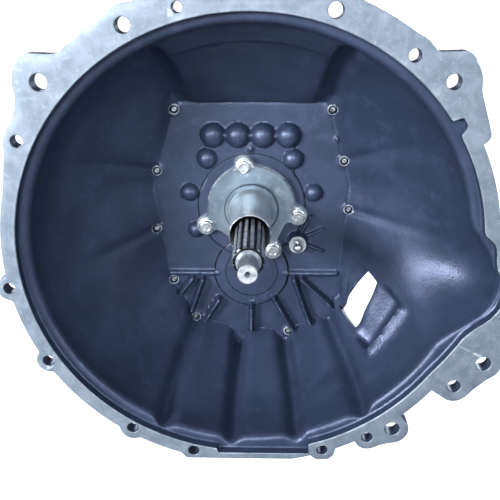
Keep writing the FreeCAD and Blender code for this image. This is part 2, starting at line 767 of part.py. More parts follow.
def input_shaft():
    """Splined input shaft with its pilot and integral head gear."""
    tip = pilot_diameter / 2.0
    root = spline_root / 2.0
    body = input_body / 2.0
    journal = input_journal / 2.0
    rear = fronts["head"] + gear_width
    core = turned([(0, pilot_front), (tip - 1, pilot_front), (tip, pilot_front + past),
                   (tip, spline_front - 2), (root - shaft_chamfer, spline_front), (root, spline_front + past),
                   (root, guide_front + 10), (body, guide_front + 12), (body, bell_depth - 4),
                   (journal, bell_depth - 4), (journal, fronts["head"] - gear_side_gap),
                   (journal + 4, fronts["head"] - gear_side_gap), (journal + 4, rear + past),
                   (24, rear + past), (24, rear + gear_side_gap - 0.5), (0, rear + gear_side_gap - 0.5)])
    teeth = splined(spline_diameter, spline_root, spline_count, spline_front, guide_front + 8)
    end = turned([(0, spline_front - past), (root - shaft_chamfer, spline_front - past),
                  (spline_diameter / 2.0 + 1, spline_front + shaft_chamfer),
                  (spline_diameter / 2.0 + 1, guide_front + 9), (0, guide_front + 9)])
    drill = turned([(0, pilot_front - past), (3.2, pilot_front - past), (1.2, pilot_front + 4),
                    (0, pilot_front + 8)])
    socket = cylinder(main_pilot / 2.0 + pilot_roller + 2 * slide_gap, rear - 14.0, rear + 10.0)
    head = gear(head_teeth, fronts["head"], gear_width, upper_phase)
    return core.multiFuse([teeth.common(end), head]).cut(drill).cut(socket)


def countershaft():
    """One-piece countershaft cluster."""
    front = bell_depth + counter_inset + past
    journal = counter_journal / 2.0
    shoulder = wall_rear + bearing_boss + 1.0
    seat = case_rear - counter_bearing_width - 2.0 * end_float
    body = turned([(0, front), (journal, front), (journal, shoulder), (counter_body / 2.0, shoulder),
                   (counter_body / 2.0, seat), (journal, seat),
                   (journal, case_rear - 1.0), (0, case_rear - 1.0)], 0, -centre_distance)
    pinions = [(tooth_sum - head_teeth, "head"), (reverse_pinion_teeth, "reverse")]
    pinions += [(teeth, name) for name, teeth in speed_pinions.items()]
    solids = [body]
    for teeth, name in pinions:
        phase = reverse_phases()[0] if name == "reverse" else lower_phase(teeth)
        solids.append(gear(teeth, fronts[name], gear_width, phase, 0, -centre_distance))
    return body.multiFuse(solids[1:])


def pilot_rollers():
    """Rollers between the input shaft and the mainshaft's pilot, as a group."""
    middle = (main_pilot + pilot_roller) / 2.0 + slide_gap
    rear = fronts["head"] + gear_width
    places = [polar(middle, 360.0 * i / roller_count) for i in range(roller_count)]
    return Part.makeCompound([cylinder(pilot_roller / 2.0 - running_gap + slide_gap, rear - 12.0,
                                       rear - 2.0, x, z) for x, z in places])


def mainshaft():
    """Stepped mainshaft from the pilot in the input shaft to the thread of the output flange."""
    pilot = main_pilot / 2.0
    body = main_diameter / 2.0
    end = output_end / 2.0
    step = fronts["hub_5_6"]
    pilot_at = fronts["head"] + gear_width - 13.0
    thread = thread_end / 2.0
    shoulder = output_face - output_hub_length - 4.0 * past
    nut = output_face - nut_recess
    tip = nut + nut_height + 4.0 * past
    return turned([(0, pilot_at), (pilot, pilot_at), (pilot, step), (body, step), (body, shoulder),
                   (end, shoulder), (end, nut), (thread, nut), (thread, tip), (0, tip)])


def speed_gear(name):
    """Gear that runs free on the mainshaft, with the dog ring of its synchro."""
    teeth = reverse_teeth if name == "reverse" else speed_teeth[name]
    phase = reverse_phases()[2] if name == "reverse" else upper_phase
    blank = gear(teeth, fronts[name], gear_width, phase)
    return blank.cut(cylinder(main_diameter / 2.0 + running_gap, 0, case_rear))


def reverse_idler():
    """Idler gear of the reverse train."""
    x, z = idler_place()
    blank = gear(idler_teeth, fronts["reverse"], gear_width, reverse_phases()[1], x, z)
    return blank.cut(cylinder(idler_shaft / 2.0 + running_gap, 0, case_rear, x, z))


def idler_pin():
    """Fixed shaft of the reverse idler, held in the rear wall of the case."""
    x, z = idler_place()
    return cylinder(idler_shaft / 2.0, fronts["reverse"] - 4.0, case_rear - 1.0, x, z)


def sleeve_front(name):
    """Front face of a sliding sleeve in neutral."""
    return fronts[name] + (hub_width - sleeve_width) / 2.0


def hub(name):
    """Synchro hub: splined on the mainshaft, carries the sliding sleeve."""
    front = fronts[name]
    ring = splined(2 * hub_radius, 2 * hub_radius - 4.0, 24, front, front + hub_width)
    waist = tube(hub_radius - 7.0, main_diameter / 2.0 + 6.0, front - past, front + 5.0)
    rear_waist = tube(hub_radius - 7.0, main_diameter / 2.0 + 6.0, front + hub_width - 5.0,
                      front + hub_width + 1)
    return ring.cut(cylinder(main_diameter / 2.0, 0, case_rear)).cut(waist).cut(rear_waist)


def sleeve(name):
    """Sliding sleeve with the groove of its fork."""
    front = sleeve_front(name)
    middle = front + sleeve_width / 2.0
    groove = fork_groove / 2.0 + fork_gap
    body = turned([(hub_radius + running_gap, front), (sleeve_radius, front),
                   (sleeve_radius, middle - groove), (sleeve_radius - fork_groove_depth, middle - groove),
                   (sleeve_radius - fork_groove_depth, middle + groove), (sleeve_radius, middle + groove),
                   (sleeve_radius, front + sleeve_width), (hub_radius + running_gap, front + sleeve_width)])
    return body


def shift_fork(name, rail):
    """Fork: two prongs in the sleeve's groove and an eye clamped on its rail."""
    middle = sleeve_front(name) + sleeve_width / 2.0
    inner = sleeve_radius - fork_groove_depth + fork_gap
    outer = sleeve_radius + 7.0
    half = fork_groove / 2.0
    arch = tube(outer, inner, middle - half, middle + half)
    arch = arch.cut(Part.makeBox(4 * outer, 40, 2 * outer, Vector(-2 * outer, middle - 20, -2 * outer - 6.0)))
    x = rail_x[rail]
    stem = hull_of_discs((x, rail_height, 8.0), (0.45 * x, outer - 4.0, 8.0), fork_groove)
    stem.translate(Vector(0, middle - half, 0))
    stem = stem.cut(cylinder(inner, 0, case_rear))
    eye = cylinder(rail_diameter / 2.0 + 3.5, middle - fork_thick, middle + fork_thick, x, rail_height)
    body = arch.multiFuse([stem, eye]).removeSplitter()
    return body.cut(cylinder(rail_diameter / 2.0, 0, case_rear, x, rail_height))


def shift_rail(rail):
    """Shift rail with its detent grooves."""
    x = rail_x[rail]
    front = bell_depth + sleeve_travel + 1.0
    rear = case_rear - 1.0 - sleeve_travel
    radius = rail_diameter / 2.0
    detent = case_inside_rear - 14.0
    points = [(0, front), (radius - 1, front), (radius, front + past)]
    for i in (-1, 0, 1):
        y = detent + i * sleeve_travel
        points += [(radius, y - 1.5), (radius - 1.2, y - 0.4), (radius - 1.2, y + 0.4), (radius, y + 1.5)]
    points += [(radius, rear - past), (radius - 1, rear), (0, rear)]
    return turned(points, x, rail_height)


# ---------------------------------------------------------------- bearings and seals
bearings = {
    "input_bearing": (main_bearing, input_journal, main_bearing_width, bell_depth - end_float, 0.0),
    "mainshaft_bearing": (main_bearing, main_diameter, main_bearing_width,
                          case_rear - main_bearing_width - end_float, 0.0),
    "countershaft_front_bearing": (counter_bearing, counter_journal, counter_bearing_width,
                                   bell_depth + counter_inset, -centre_distance),
    "countershaft_rear_bearing": (counter_bearing, counter_journal, counter_bearing_width,
                                  case_rear - counter_bearing_width - end_float, -centre_distance),
}


def bearing_outer(name):
    """Outer ring of a roller bearing, with its rollers' lips."""
    outer, inner, width, front, z = bearings[name]
    race = outer / 2.0 - ring_thick
    return turned([(outer / 2.0, front), (outer / 2.0, front + width), (race - 1.5, front + width),
                   (race - 1.5, front + width - 2), (race, front + width - 2), (race, front + 2),
                   (race - 1.5, front + 2), (race - 1.5, front)], 0, z)


def bearing_inner(name):
    """Inner ring of a roller bearing."""
    outer, inner, width, front, z = bearings[name]
    return tube(inner / 2.0 + ring_thick, inner / 2.0, front, front + width, 0, z)


def bearing_rollers(name):
    """Rollers of a bearing, as a group."""
    outer, inner, width, front, z = bearings[name]
    race_out = outer / 2.0 - ring_thick
    race_in = inner / 2.0 + ring_thick
    radius = (race_out - race_in) / 2.0 - roller_gap
    middle = (race_out + race_in) / 2.0
    places = [polar(middle, 360.0 * i / roller_count) for i in range(roller_count)]
    return Part.makeCompound([cylinder(radius, front + 2.5, front + width - 2.5, x, z + dz)
                              for x, dz in places])


# ---------------------------------------------------------------- gear case
def case_form(front, rear, margin):
    """Solid between two planes inside the outline of the case, moved out by a margin."""
    return prism(outline(grown(case_corners, margin), front, case_corner + margin), rear - front)


def gear_case():
    """Cast gear case behind the bell housing, open in front."""
    body = case_form(wall_rear, case_rear, 0.0)
    parts = [case_form(wall_rear, wall_rear + case_flange, 5.0)]
    for x, z in case_bolts_at + dowels_at:
        parts.append(cylinder(case_lug, wall_rear, wall_rear + case_flange, x, z))
    parts.append(cylinder(cover_flange_radius, case_rear - cover_flange, case_rear))
    y = wall_rear + case_flange + case_rib_gap
    while y < case_rear - case_rib_gap:
        parts.append(case_form(y, y + case_rib_thick, case_rib_height))
        y += case_rib_gap + case_rib_thick
    parts += [plug_boss(place) for place in plug_places()]
    body = body.multiFuse(parts)
    body = body.cut(case_form(wall_rear - past, case_inside_rear, -case_wall))
    seats = [tube(main_bearing / 2.0 + bearing_boss, main_bearing / 2.0,
                  case_rear - main_bearing_width - 4.0, case_rear),
             tube(counter_bearing / 2.0 + bearing_boss - 2.0, counter_bearing / 2.0,
                  case_rear - counter_bearing_width - 4.0, case_rear, 0, -centre_distance)]
    inside = case_form(wall_rear, case_rear, -case_wall + 1.0)
    body = body.multiFuse([seat.common(inside) for seat in seats])
    return body.cut(Part.makeCompound(case_bores()))


def case_bores():
    """Bearing seats, rail holes, bolt holes and plug threads of the case."""
    x, z = idler_place()
    main, counter = main_bearing / 2.0, counter_bearing / 2.0
    rear = case_rear + past
    bores = [cylinder(main, case_rear - main_bearing_width - end_float, rear),
             cylinder(main - seat_lip, case_inside_rear - through, rear),
             cylinder(counter, case_rear - counter_bearing_width - end_float, rear, 0, -centre_distance),
             cylinder(counter - seat_lip, case_inside_rear - through, rear, 0, -centre_distance),
             cylinder(idler_shaft / 2.0, case_inside_rear - past, rear, x, z)]
    for rail in rail_x:
        bores.append(cylinder(rail_diameter / 2.0 + slide_gap, case_inside_rear - past, rear,
                              rail, rail_height))
    for x, z in case_bolts_at:
        face = wall_rear + case_flange
        bores.append(cylinder(case_bolt / 2.0 + clear_gap, wall_rear - past, face + through, x, z))
        bores.append(cylinder(case_bolt + 3.0 * clear_gap, face, face + through, x, z))
    for x, z in dowels_at:
        bores.append(cylinder(dowel_diameter / 2.0, wall_rear - past, wall_rear + dowel_length / 2.0, x, z))
    for x, z in cover_bolts_at():
        bores.append(cylinder(cover_bolt / 2.0 + slide_gap, case_inside_rear + past, case_rear + past, x, z))
    bores += [plug_thread_hole(place) for place in plug_places()]
    return bores


def cover_bolts_at():
    """Places of the rear cover's bolts."""
    step = 360.0 / cover_bolt_count
    return [polar(cover_bolt_circle, step * (i + 0.5) - 90.0) for i in range(cover_bolt_count)]


def plug_places():
    """Inner end and outward direction of the drain plug and the level plug."""
    y = (wall_rear + case_rear) / 2.0
    floor = min(z for _, z in case_corners)
    side = min(x for x, _ in case_corners)
    return [(Vector(0, y, floor), Vector(0, 0, -1)), (Vector(side + 1.0, y, -28.0), Vector(-1, 0, 0))]


def plug_thread_hole(place):
    """Hole of an oil plug."""
    middle, outward = place
    return Part.makeCylinder(plug_thread / 2.0 + slide_gap, 3 * plug_length,
                             middle - outward * (2 * plug_length), outward)


def oil_plug(place):
    """Oil plug with a collar and a hexagon."""
    middle, outward = place
    start = middle + outward * (case_rib_height + 0.1)
    collar = Part.makeCylinder(plug_head / 2.0 + 2.0, 3.0, start, outward)
    thread = Part.makeCylinder(plug_thread / 2.0, plug_length, start - outward * plug_length, outward)
    corners = [Vector(*polar(plug_head / 2.0, 60.0 * i), 3.0) for i in range(6)]
    hexagon = Part.Face(Part.makePolygon(corners + corners[:1])).extrude(Vector(0, 0, 8))
    hexagon.Placement = FreeCAD.Placement(start, FreeCAD.Rotation(Vector(0, 0, 1), outward))
    return joined([collar, thread, hexagon])


def plug_boss(place):
    """Boss of the case under an oil plug."""
    middle, outward = place
    return Part.makeCylinder(plug_head / 2.0 + 4.0, case_rib_height + 8.0, middle - outward * 8.0, outward)


def case_bolts():
    """Bolts from the gear case into the bell housing."""
    head_at = wall_rear + case_flange + bolt_head_share * case_bolt
    return Part.makeCompound([flanged_bolt(case_bolt, head_at, bell_depth - case_bolt_ring_height + 1.0, x, z)
                              for x, z in case_bolts_at])


def dowels():
    """Two dowels between the bell housing and the gear case."""
    front = wall_rear - dowel_length / 2.0
    return Part.makeCompound([cylinder(dowel_diameter / 2.0, front, front + dowel_length, x, z)
                              for x, z in dowels_at])


# ---------------------------------------------------------------- rear cover and output
def rear_cover():
    """Rear extension housing with the seat of the output seal."""
    front, rear = case_rear, cover_rear
    seal_seat = output_hub_radius + 10.0
    outside = turned([(0, front), (cover_flange_radius, front), (cover_flange_radius, front + cover_flange),
                      (cover_front_radius, front + cover_flange + 2), (cover_front_radius - 4, front + 30),
                      (cover_rear_radius + 2, rear - 26), (cover_rear_radius, rear - 20),
                      (cover_rear_radius, rear), (0, rear)])
    inside = turned([(0, front - past), (cover_front_radius - cover_wall, front - past),
                     (cover_front_radius - cover_wall, front + 16),
                     (cover_front_radius - cover_wall - 4, front + 30),
                     (cover_rear_radius - cover_wall - 2, rear - 26), (output_hub_radius + 2, rear - 12),
                     (seal_seat, rear - seal_width), (seal_seat, rear + past), (0, rear + past)])
    ribs = []
    for i in range(cover_bolt_count):
        ribs.append(turned_box(cover_rear_radius - 3.0, cover_flange_radius - 6.0, 5.0, front + 4.0,
                               rear - 22.0, 360.0 * i / cover_bolt_count - 90.0))
    cone = turned([(0, front), (cover_flange_radius - 2, front), (cover_flange_radius - 2, front + 8),
                   (cover_rear_radius + 4, rear - 24), (0, rear - 24)])
    web = ribs[0].multiFuse(ribs[1:]).common(cone)
    holes = [cylinder(cover_bolt / 2.0 + clear_gap, front - past, front + 40, x, z) for x, z in cover_bolts_at()]
    spots = [cylinder(cover_bolt + 1.0, front + cover_flange, front + 40, x, z) for x, z in cover_bolts_at()]
    return outside.fuse(web).cut(Part.makeCompound(holes + spots)).cut(inside)


def cover_bolts():
    """Bolts of the rear cover."""
    head_at = case_rear + cover_flange + bolt_head_share * cover_bolt
    return Part.makeCompound([flanged_bolt(cover_bolt, head_at, case_inside_rear + 2.0, x, z)
                              for x, z in cover_bolts_at()])


def output_flange():
    """Flange of the propeller shaft with its seal hub."""
    face = output_face
    hub_front = face - output_hub_length
    bore = output_end / 2.0
    recess = nut_across / 2.0 + bearing_boss - 2.0 * past
    body = turned([(bore, hub_front), (output_hub_radius, hub_front), (output_hub_radius, face - 12),
                   (flange_radius - 12, face - output_flange_thick), (flange_radius, face - output_flange_thick),
                   (flange_radius, face - past), (flange_radius - past, face), (recess, face),
                   (recess, face - nut_recess), (bore, face - nut_recess)])
    holes = [cylinder(output_bolt / 2.0 + slide_gap, face - through, face + past,
                      *polar(output_bolt_circle, 360.0 * (i + 0.5) / output_bolt_count))
             for i in range(output_bolt_count)]
    return body.cut(Part.makeCompound(holes))


def flange_nut():
    """Nut that holds the output flange on the mainshaft."""
    front = output_face - nut_recess
    corners = [polar(nut_across / math.sqrt(3.0), 60.0 * i) for i in range(6)]
    body = prism(outline(corners, front), nut_height)
    return body.cut(cylinder(thread_end / 2.0, front - past, front + nut_height + 1))


# ---------------------------------------------------------------- build
def nodes():
    """Every node of the gearbox by name."""
    model = {
        "bell_housing": bell_housing(),
        "front_retainer": front_retainer(),
        "retainer_bolts": retainer_bolts(),
        "fork_pivot": fork_pivot(),
        "input_seal": seal(input_body / 2.0 + running_gap, guide_bore / 2.0 + seal_inset, retainer_front - seal_width,
                           retainer_front),
        "input_shaft": input_shaft(),
        "pilot_rollers": pilot_rollers(),
        "countershaft": countershaft(),
        "mainshaft": mainshaft(),
        "reverse_gear": speed_gear("reverse"),
        "reverse_idler": reverse_idler(),
        "idler_pin": idler_pin(),
        "gear_case": gear_case(),
        "case_bolts": case_bolts(),
        "dowels": dowels(),
        "drain_plug": oil_plug(plug_places()[0]),
        "level_plug": oil_plug(plug_places()[1]),
        "rear_cover": rear_cover(),
        "cover_bolts": cover_bolts(),
        "output_seal": seal(output_hub_radius + running_gap, output_hub_radius + 10.0,
                            cover_rear - seal_width, cover_rear),
        "output_flange": output_flange(),
        "flange_nut": flange_nut(),
    }
    for name in speed_teeth:
        model[name + "_gear"] = speed_gear(name)
    for rail, name in enumerate(hubs):
        gears = name.replace("hub_", "")
        model[name] = hub(name)
        model["sleeve_" + gears] = sleeve(name)
        model["fork_" + gears] = shift_fork(name, rail)
        model["rail_" + gears] = shift_rail(rail)
    for name in bearings:
        model[name + "_outer"] = bearing_outer(name)
        model[name + "_inner"] = bearing_inner(name)
        model[name + "_rollers"] = bearing_rollers(name)
    return model


def main():
    """Build and export every node."""
    os.makedirs("parts", exist_ok=True)
    for name, shape in nodes().items():
        shape.exportStep("parts/" + name + ".step")
        print(name, len(shape.Solids), round(shape.Volume), shape.isValid())


main()
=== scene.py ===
"""Looks of an in-line manual gearbox seen from its clutch side: cast bell, guide tube, splined shaft."""

import json
import logging
import math
from dataclasses import dataclass, field
from enum import Enum
from typing import Sequence

import bpy
import numpy as np
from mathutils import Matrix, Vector


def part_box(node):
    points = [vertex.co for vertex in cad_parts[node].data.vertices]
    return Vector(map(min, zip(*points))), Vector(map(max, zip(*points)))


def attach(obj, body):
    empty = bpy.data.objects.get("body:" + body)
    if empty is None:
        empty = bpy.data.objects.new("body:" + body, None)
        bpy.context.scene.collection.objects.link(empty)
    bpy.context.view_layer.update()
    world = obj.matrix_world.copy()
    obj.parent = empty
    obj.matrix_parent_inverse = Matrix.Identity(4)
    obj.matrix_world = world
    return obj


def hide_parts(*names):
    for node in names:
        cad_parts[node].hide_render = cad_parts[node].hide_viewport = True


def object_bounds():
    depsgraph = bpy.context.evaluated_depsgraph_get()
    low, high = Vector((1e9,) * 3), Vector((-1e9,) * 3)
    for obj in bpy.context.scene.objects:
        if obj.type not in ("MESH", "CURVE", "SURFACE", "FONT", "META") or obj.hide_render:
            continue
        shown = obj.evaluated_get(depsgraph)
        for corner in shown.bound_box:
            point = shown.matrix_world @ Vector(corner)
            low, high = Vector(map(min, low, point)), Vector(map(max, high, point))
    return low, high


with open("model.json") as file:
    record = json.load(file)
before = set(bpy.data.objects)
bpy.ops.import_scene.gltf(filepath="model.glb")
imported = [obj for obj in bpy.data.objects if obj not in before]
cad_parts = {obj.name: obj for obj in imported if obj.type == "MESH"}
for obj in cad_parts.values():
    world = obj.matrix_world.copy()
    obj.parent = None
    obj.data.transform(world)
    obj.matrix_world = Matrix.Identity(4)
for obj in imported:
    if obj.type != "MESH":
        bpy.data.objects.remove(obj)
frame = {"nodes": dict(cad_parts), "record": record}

CAD_BOX = [[float(value) for value in corner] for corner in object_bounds()]
MM = 0.001
log = logging.getLogger("gearbox")


# ---------------------------------------------------------------- mesh helpers
def grid_mesh(name: str, rows: np.ndarray, closed: bool, smooth_angle: float = 32.0) -> bpy.types.Object:
    """Build a mesh from rings of points that run round an axis.

    Args:
        name: name of the piece.
        rows: points of shape (rings, columns, 3) in millimetres; each ring closes on itself.
        closed: whether the last ring joins the first; otherwise both ends get a cap.
        smooth_angle: edges sharper than this many degrees stay sharp.

    Returns:
        The new object, linked to the scene, with its faces outward.
    """
    rings, columns, _ = rows.shape
    points = rows.reshape(-1, 3) * MM
    ring = np.arange(rings if closed else rings - 1)[:, None]
    column = np.arange(columns)[None, :]
    following, beside = (ring + 1) % rings, (column + 1) % columns
    quads = np.stack([ring * columns + column, ring * columns + beside,
                      following * columns + beside, following * columns + column], axis=-1).reshape(-1, 4)
    a, b, c, d = (points[quads[:, i]] for i in range(4))
    volume = np.einsum("ij,ij->", a, np.cross(b, c)) + np.einsum("ij,ij->", a, np.cross(c, d))
    outward = volume > 0
    polygons = (quads if outward else quads[:, ::-1]).tolist()
    if not closed:
        first = list(range(columns))
        last = list(range((rings - 1) * columns, rings * columns))
        polygons += [first[::-1], last] if outward else [first, last[::-1]]
    mesh = bpy.data.meshes.new(name)
    mesh.from_pydata(points.tolist(), [], polygons)
    mesh.validate()
    mesh.polygons.foreach_set("use_smooth", np.ones(len(mesh.polygons), dtype=bool))
    mesh.set_sharp_from_angle(angle=math.radians(smooth_angle))
    mesh.update()
    piece = bpy.data.objects.new(name, mesh)
    bpy.context.scene.collection.objects.link(piece)
    return piece


def turned(profile: Sequence[tuple[float, float]], columns: int, x: float = 0.0, z: float = 0.0,
           shape: np.ndarray | None = None) -> np.ndarray:
    """Carry a profile of (radius, y) round an axis along Y.

    Args:
        profile: radius and y of each ring, in millimetres.
        columns: points in a ring.
        x: place of the axis.
        z: place of the axis.
        shape: factor on the radius for each ring and column, for hexagons.

    Returns:
        Points of shape (rings, columns, 3).
    """
    radius, y = np.array(profile, dtype=float).T
    angle = np.linspace(0.0, 2.0 * math.pi, columns, endpoint=False)
    factor = np.ones((len(radius), columns)) if shape is None else shape
    reach = radius[:, None] * factor
    return np.stack([x + reach * np.cos(angle), np.broadcast_to(y[:, None], reach.shape),
                     z + reach * np.sin(angle)], axis=-1)


def smooth_max(first: np.ndarray, second: np.ndarray, blend: float) -> np.ndarray:
    """Larger of two arrays, with the corner between them rounded over a blend length."""
    share = np.clip(0.5 + 0.5 * (first - second) / blend, 0.0, 1.0)
    return second + (first - second) * share + blend * share * (1.0 - share)


def smooth_step(value: np.ndarray, start: float | np.ndarray, end: float | np.ndarray) -> np.ndarray:
    """Rise from 0 at start to 1 at end with flat ends."""
    t = np.clip((value - start) / (end - start), 0.0, 1.0)
    return t * t * (3.0 - 2.0 * t)


def resampled(rows: np.ndarray, count: int, density: np.ndarray | None = None) -> np.ndarray:
    """Spread the rings of a surface evenly along each column.

    Args:
        rows: points of shape (rings, columns, 3).
        count: rings wanted.
        density: weight on each ring's length, of shape (rings,); more weight brings rings closer.

    Returns:
        Points of shape (count, columns, 3) on the same columns.
    """
    columns = rows.shape[1]
    step = np.linalg.norm(np.diff(rows, axis=0), axis=2) + 1e-6
    if density is not None:
        step = step * (0.5 * (density[1:] + density[:-1]))[:, None]
    length = np.concatenate([np.zeros((1, columns)), np.cumsum(step, axis=0)])
    length = length / length[-1] + 2.0 * np.arange(columns)
    target = np.linspace(0.0, 1.0, count)[:, None] + 2.0 * np.arange(columns)
    flat = length.T.ravel()
    return np.stack([np.interp(target.T.ravel(), flat, rows[..., axis].T.ravel()).reshape(columns, count).T
                     for axis in range(3)], axis=-1)


def disc_reach(angle: np.ndarray, x: float, z: float, radius: float) -> np.ndarray:
    """Distance from the shaft axis to the far side of a disc, for each angle; 0 where it is missed."""
    distance, bearing = math.hypot(x, z), math.atan2(z, x)
    across = distance * np.sin(angle - bearing)
    inside = radius ** 2 - across ** 2
    reach = distance * np.cos(angle - bearing) + np.sqrt(np.maximum(inside, 0.0))
    return np.where((inside > 0.0) & (np.cos(angle - bearing) > 0.0), reach, 0.0)


def bump(value: np.ndarray, middle: float | np.ndarray, width: float) -> np.ndarray:
    """Bell-shaped rise of height 1 round a middle."""
    return np.exp(-((value - middle) / width) ** 2)


def turn_difference(angle: np.ndarray, middle: float) -> np.ndarray:
    """Signed difference of angles, in radians, between minus pi and pi."""
    return (angle - middle + math.pi) % (2.0 * math.pi) - math.pi


def polar(radius: float, angle: float) -> tuple[float, float]:
    """The (x, z) place at a radius and an angle in degrees round the shaft axis."""
    return radius * math.cos(math.radians(angle)), radius * math.sin(math.radians(angle))


def cut_by(piece: bpy.types.Object, tool: bpy.types.Object, operation: str) -> None:
    """Cut a piece by a tool, or join the tool to it, and delete the tool.

    Args:
        piece: object that is changed.
        tool: closed object that cuts or joins.
        operation: DIFFERENCE or UNION.
    """
    modifier = piece.modifiers.new(operation.lower(), "BOOLEAN")
    modifier.operation = operation
    modifier.solver = "MANIFOLD"
    modifier.object = tool
    graph = bpy.context.evaluated_depsgraph_get()
    result = bpy.data.meshes.new_from_object(piece.evaluated_get(graph))
    piece.modifiers.clear()
    old = piece.data
    piece.data = result
    bpy.data.meshes.remove(old)
    bpy.data.objects.remove(tool)


def joined(pieces: list, name: str) -> bpy.types.Object:
    """Join several objects into one.

    Args:
        pieces: objects to join; the first one stays.
        name: new name.

    Returns:
        The joined object.
    """
    with bpy.context.temp_override(active_object=pieces[0], object=pieces[0], selected_objects=pieces,
                                   selected_editable_objects=pieces):
        bpy.ops.object.join()
    pieces[0].name = name
    pieces[0].data.name = name
    return pieces[0]


# ---------------------------------------------------------------- bell housing
@dataclass
class BellHousing:
    """The clutch housing casting: flange, mouth, bowl, front wall and its forms."""

    mouth_radius: float = 200.0
    ledge_radius: float = 191.0
    ledge_depth: float = 17.0
    rim_radius: float = 213.0
    crown_radius: float = 225.0
    crown_height: float = 160.0
    sump_height: float = -209.0
    flange_thick: float = 14.0
    wall_face: float = 147.0
    wall_rear: float = 157.0
    skin: float = 7.0
    skin_blend: float = 0.6
    rim_margin: float = 4.0
    hidden_radius: float = 40.0
    plug_z: float = -74.0
    columns: int = 545
    inner_rings: int = 116
    profile_steps: int = 420
    fine_rings: int = 800
    # angle, reach beyond the mouth, bore and metal of each flange hole
    ears: tuple = (
        (116.8, 12.9, 12.5, 9.0), (104.9, 10.1, 8.5, 9.0), (71.8, 11.6, 12.5, 9.0), (52.7, 11.2, 10.5, 9.0),
        (42.8, 18.0, 12.5, 15.5), (138.3, 21.0, 14.0, 14.0), (152.0, 12.9, 10.5, 5.5),
        (188.4, 12.3, 10.5, 6.0), (209.4, 10.0, 10.5, 6.0), (237.8, 6.7, 10.5, 7.0), (255.2, 6.9, 10.5, 6.0),
        (289.5, 10.0, 10.5, 7.0), (301.5, 14.6, 10.5, 7.0), (308.0, 19.4, 14.0, 8.0),
        (326.2, 26.3, 12.5, 9.0), (334.3, 35.3, 14.0, 8.5),
    )
    # straight edges of the flange: x, z and radius of the round at each end; the last is the pocket's rim
    edges: tuple = (
        ((150.0, 162.5, 8.5), (166.0, 162.5, 8.5)), ((166.0, 162.5, 8.5), (188.0, 106.5, 6.0)),
        ((-152.0, 158.5, 10.0), (-171.0, 156.0, 12.5)), ((-171.0, 156.0, 12.5), (-176.0, 121.0, 11.0)),
        ((-176.0, 121.0, 11.0), (-188.0, 100.0, 10.75)), ((-188.0, 100.0, 10.75), (-196.0, 64.0, 7.8)),
        ((188.1, -125.9, 15.0), (212.0, -102.0, 15.5)), ((206.0, -45.0, 14.0), (213.0, -102.0, 14.5)),
        ((112.1, -183.0, 12.25), (135.1, -172.9, 15.0)), ((174.0, -28.0, 63.0), (174.5, -28.0, 63.0)),
    )
    corners: tuple = (
        (-75.0, 108.0), (76.0, 108.0), (101.0, 24.0), (93.0, -76.0), (97.0, -100.0), (66.0, -134.0),
        (36.0, -144.0), (-18.0, -141.0), (-40.0, -136.0), (-63.0, -122.0), (-88.0, -80.0), (-101.0, 24.0),
    )
    # angle, width and depth of each flute in the lower wall
    flutes: tuple = ((-56.5, 3.0, 12.0), (-76.5, 2.8, 13.0), (-95.0, 2.8, 20.0), (-115.0, 3.0, 9.0))
    flute_mouth: float = 8.0
    # outline of the starter pocket at the mouth: angle and radius
    pocket: tuple = (
        (-34.0, 200.0), (-27.0, 203.0), (-21.7, 205.6), (-18.5, 211.0), (-15.2, 220.0), (-12.2, 225.0),
        (-8.0, 225.0), (-4.4, 218.5), (-3.2, 214.0), (-1.0, 212.0), (1.9, 211.0), (3.4, 209.5), (4.9, 205.0),
        (5.9, 200.6), (7.0, 200.0),
    )
    pocket_middle: float = -9.1
    pocket_reach: float = 176.2
    pocket_radius: float = 48.0
    pocket_depth: float = 88.0
    case_bolts: tuple = ((-77.5, 101.0), (80.5, 101.0), (94.5, 49.0), (101.5, -3.0), (-97.5, 38.0),
                         (-100.5, -25.0), (-84.5, -84.0), (-61.5, -129.0), (41.5, -146.0))
    dowels: tuple = ((-90.0, 72.0), (74.0, -126.0))
    retainer_bolts: tuple = ((-8.0, 45.0), (-47.0, -19.0), (48.0, -8.0), (22.5, -46.0))
    rails: tuple = (-39.45, -13.95, 11.55, 37.05)
    rail_height: float = 75.0
    stud: tuple = (48.5, -38.0)
    stud_height: float = 13.0
    stud_webs: tuple = (27.0, -22.0, 64.0)
    web_length: float = 30.0
    # x, z and radius of each dome below the row over the rails
    side_domes: tuple = ((-45.5, 51, 11.0), (42.5, 51, 11.0), (-64.5, 15, 9.7), (64.5, 15, 9.7),
                         (-58.5, -26, 9.2))
    rail_dome: float = 13.0
    # start, end and height of each rib that fans out below the plug
    fan_ribs: tuple = (
        ((-64, -81), (-85, -108), 11.0), ((-53, -82), (-69, -128), 13.0), ((-36, -106), (-60, -147), 13.0),
        ((0, -112), (0, -166), 13.0), ((25, -104), (50, -150), 13.0), ((46, -81), (65, -136), 13.0),
        ((54, -81), (96, -121), 12.0),
    )
    # radii of the holes
    bolt_hole: float = 4.3
    pin_hole: float = 5.3
    rail_hole: float = 7.4
    plug_hole: float = 26.3
    through: float = 170.0
    gussets: tuple = (12.0, 62.0, 90.0, 118.0, 150.0, 172.0, 202.0, 228.0, 252.0, 288.0, 344.0)
    window_angle: float = -38.5
    window_half: float = 28.0
    window_front: float = 105.0
    window_rear: float = 139.0
    collar_end: float = 142.0

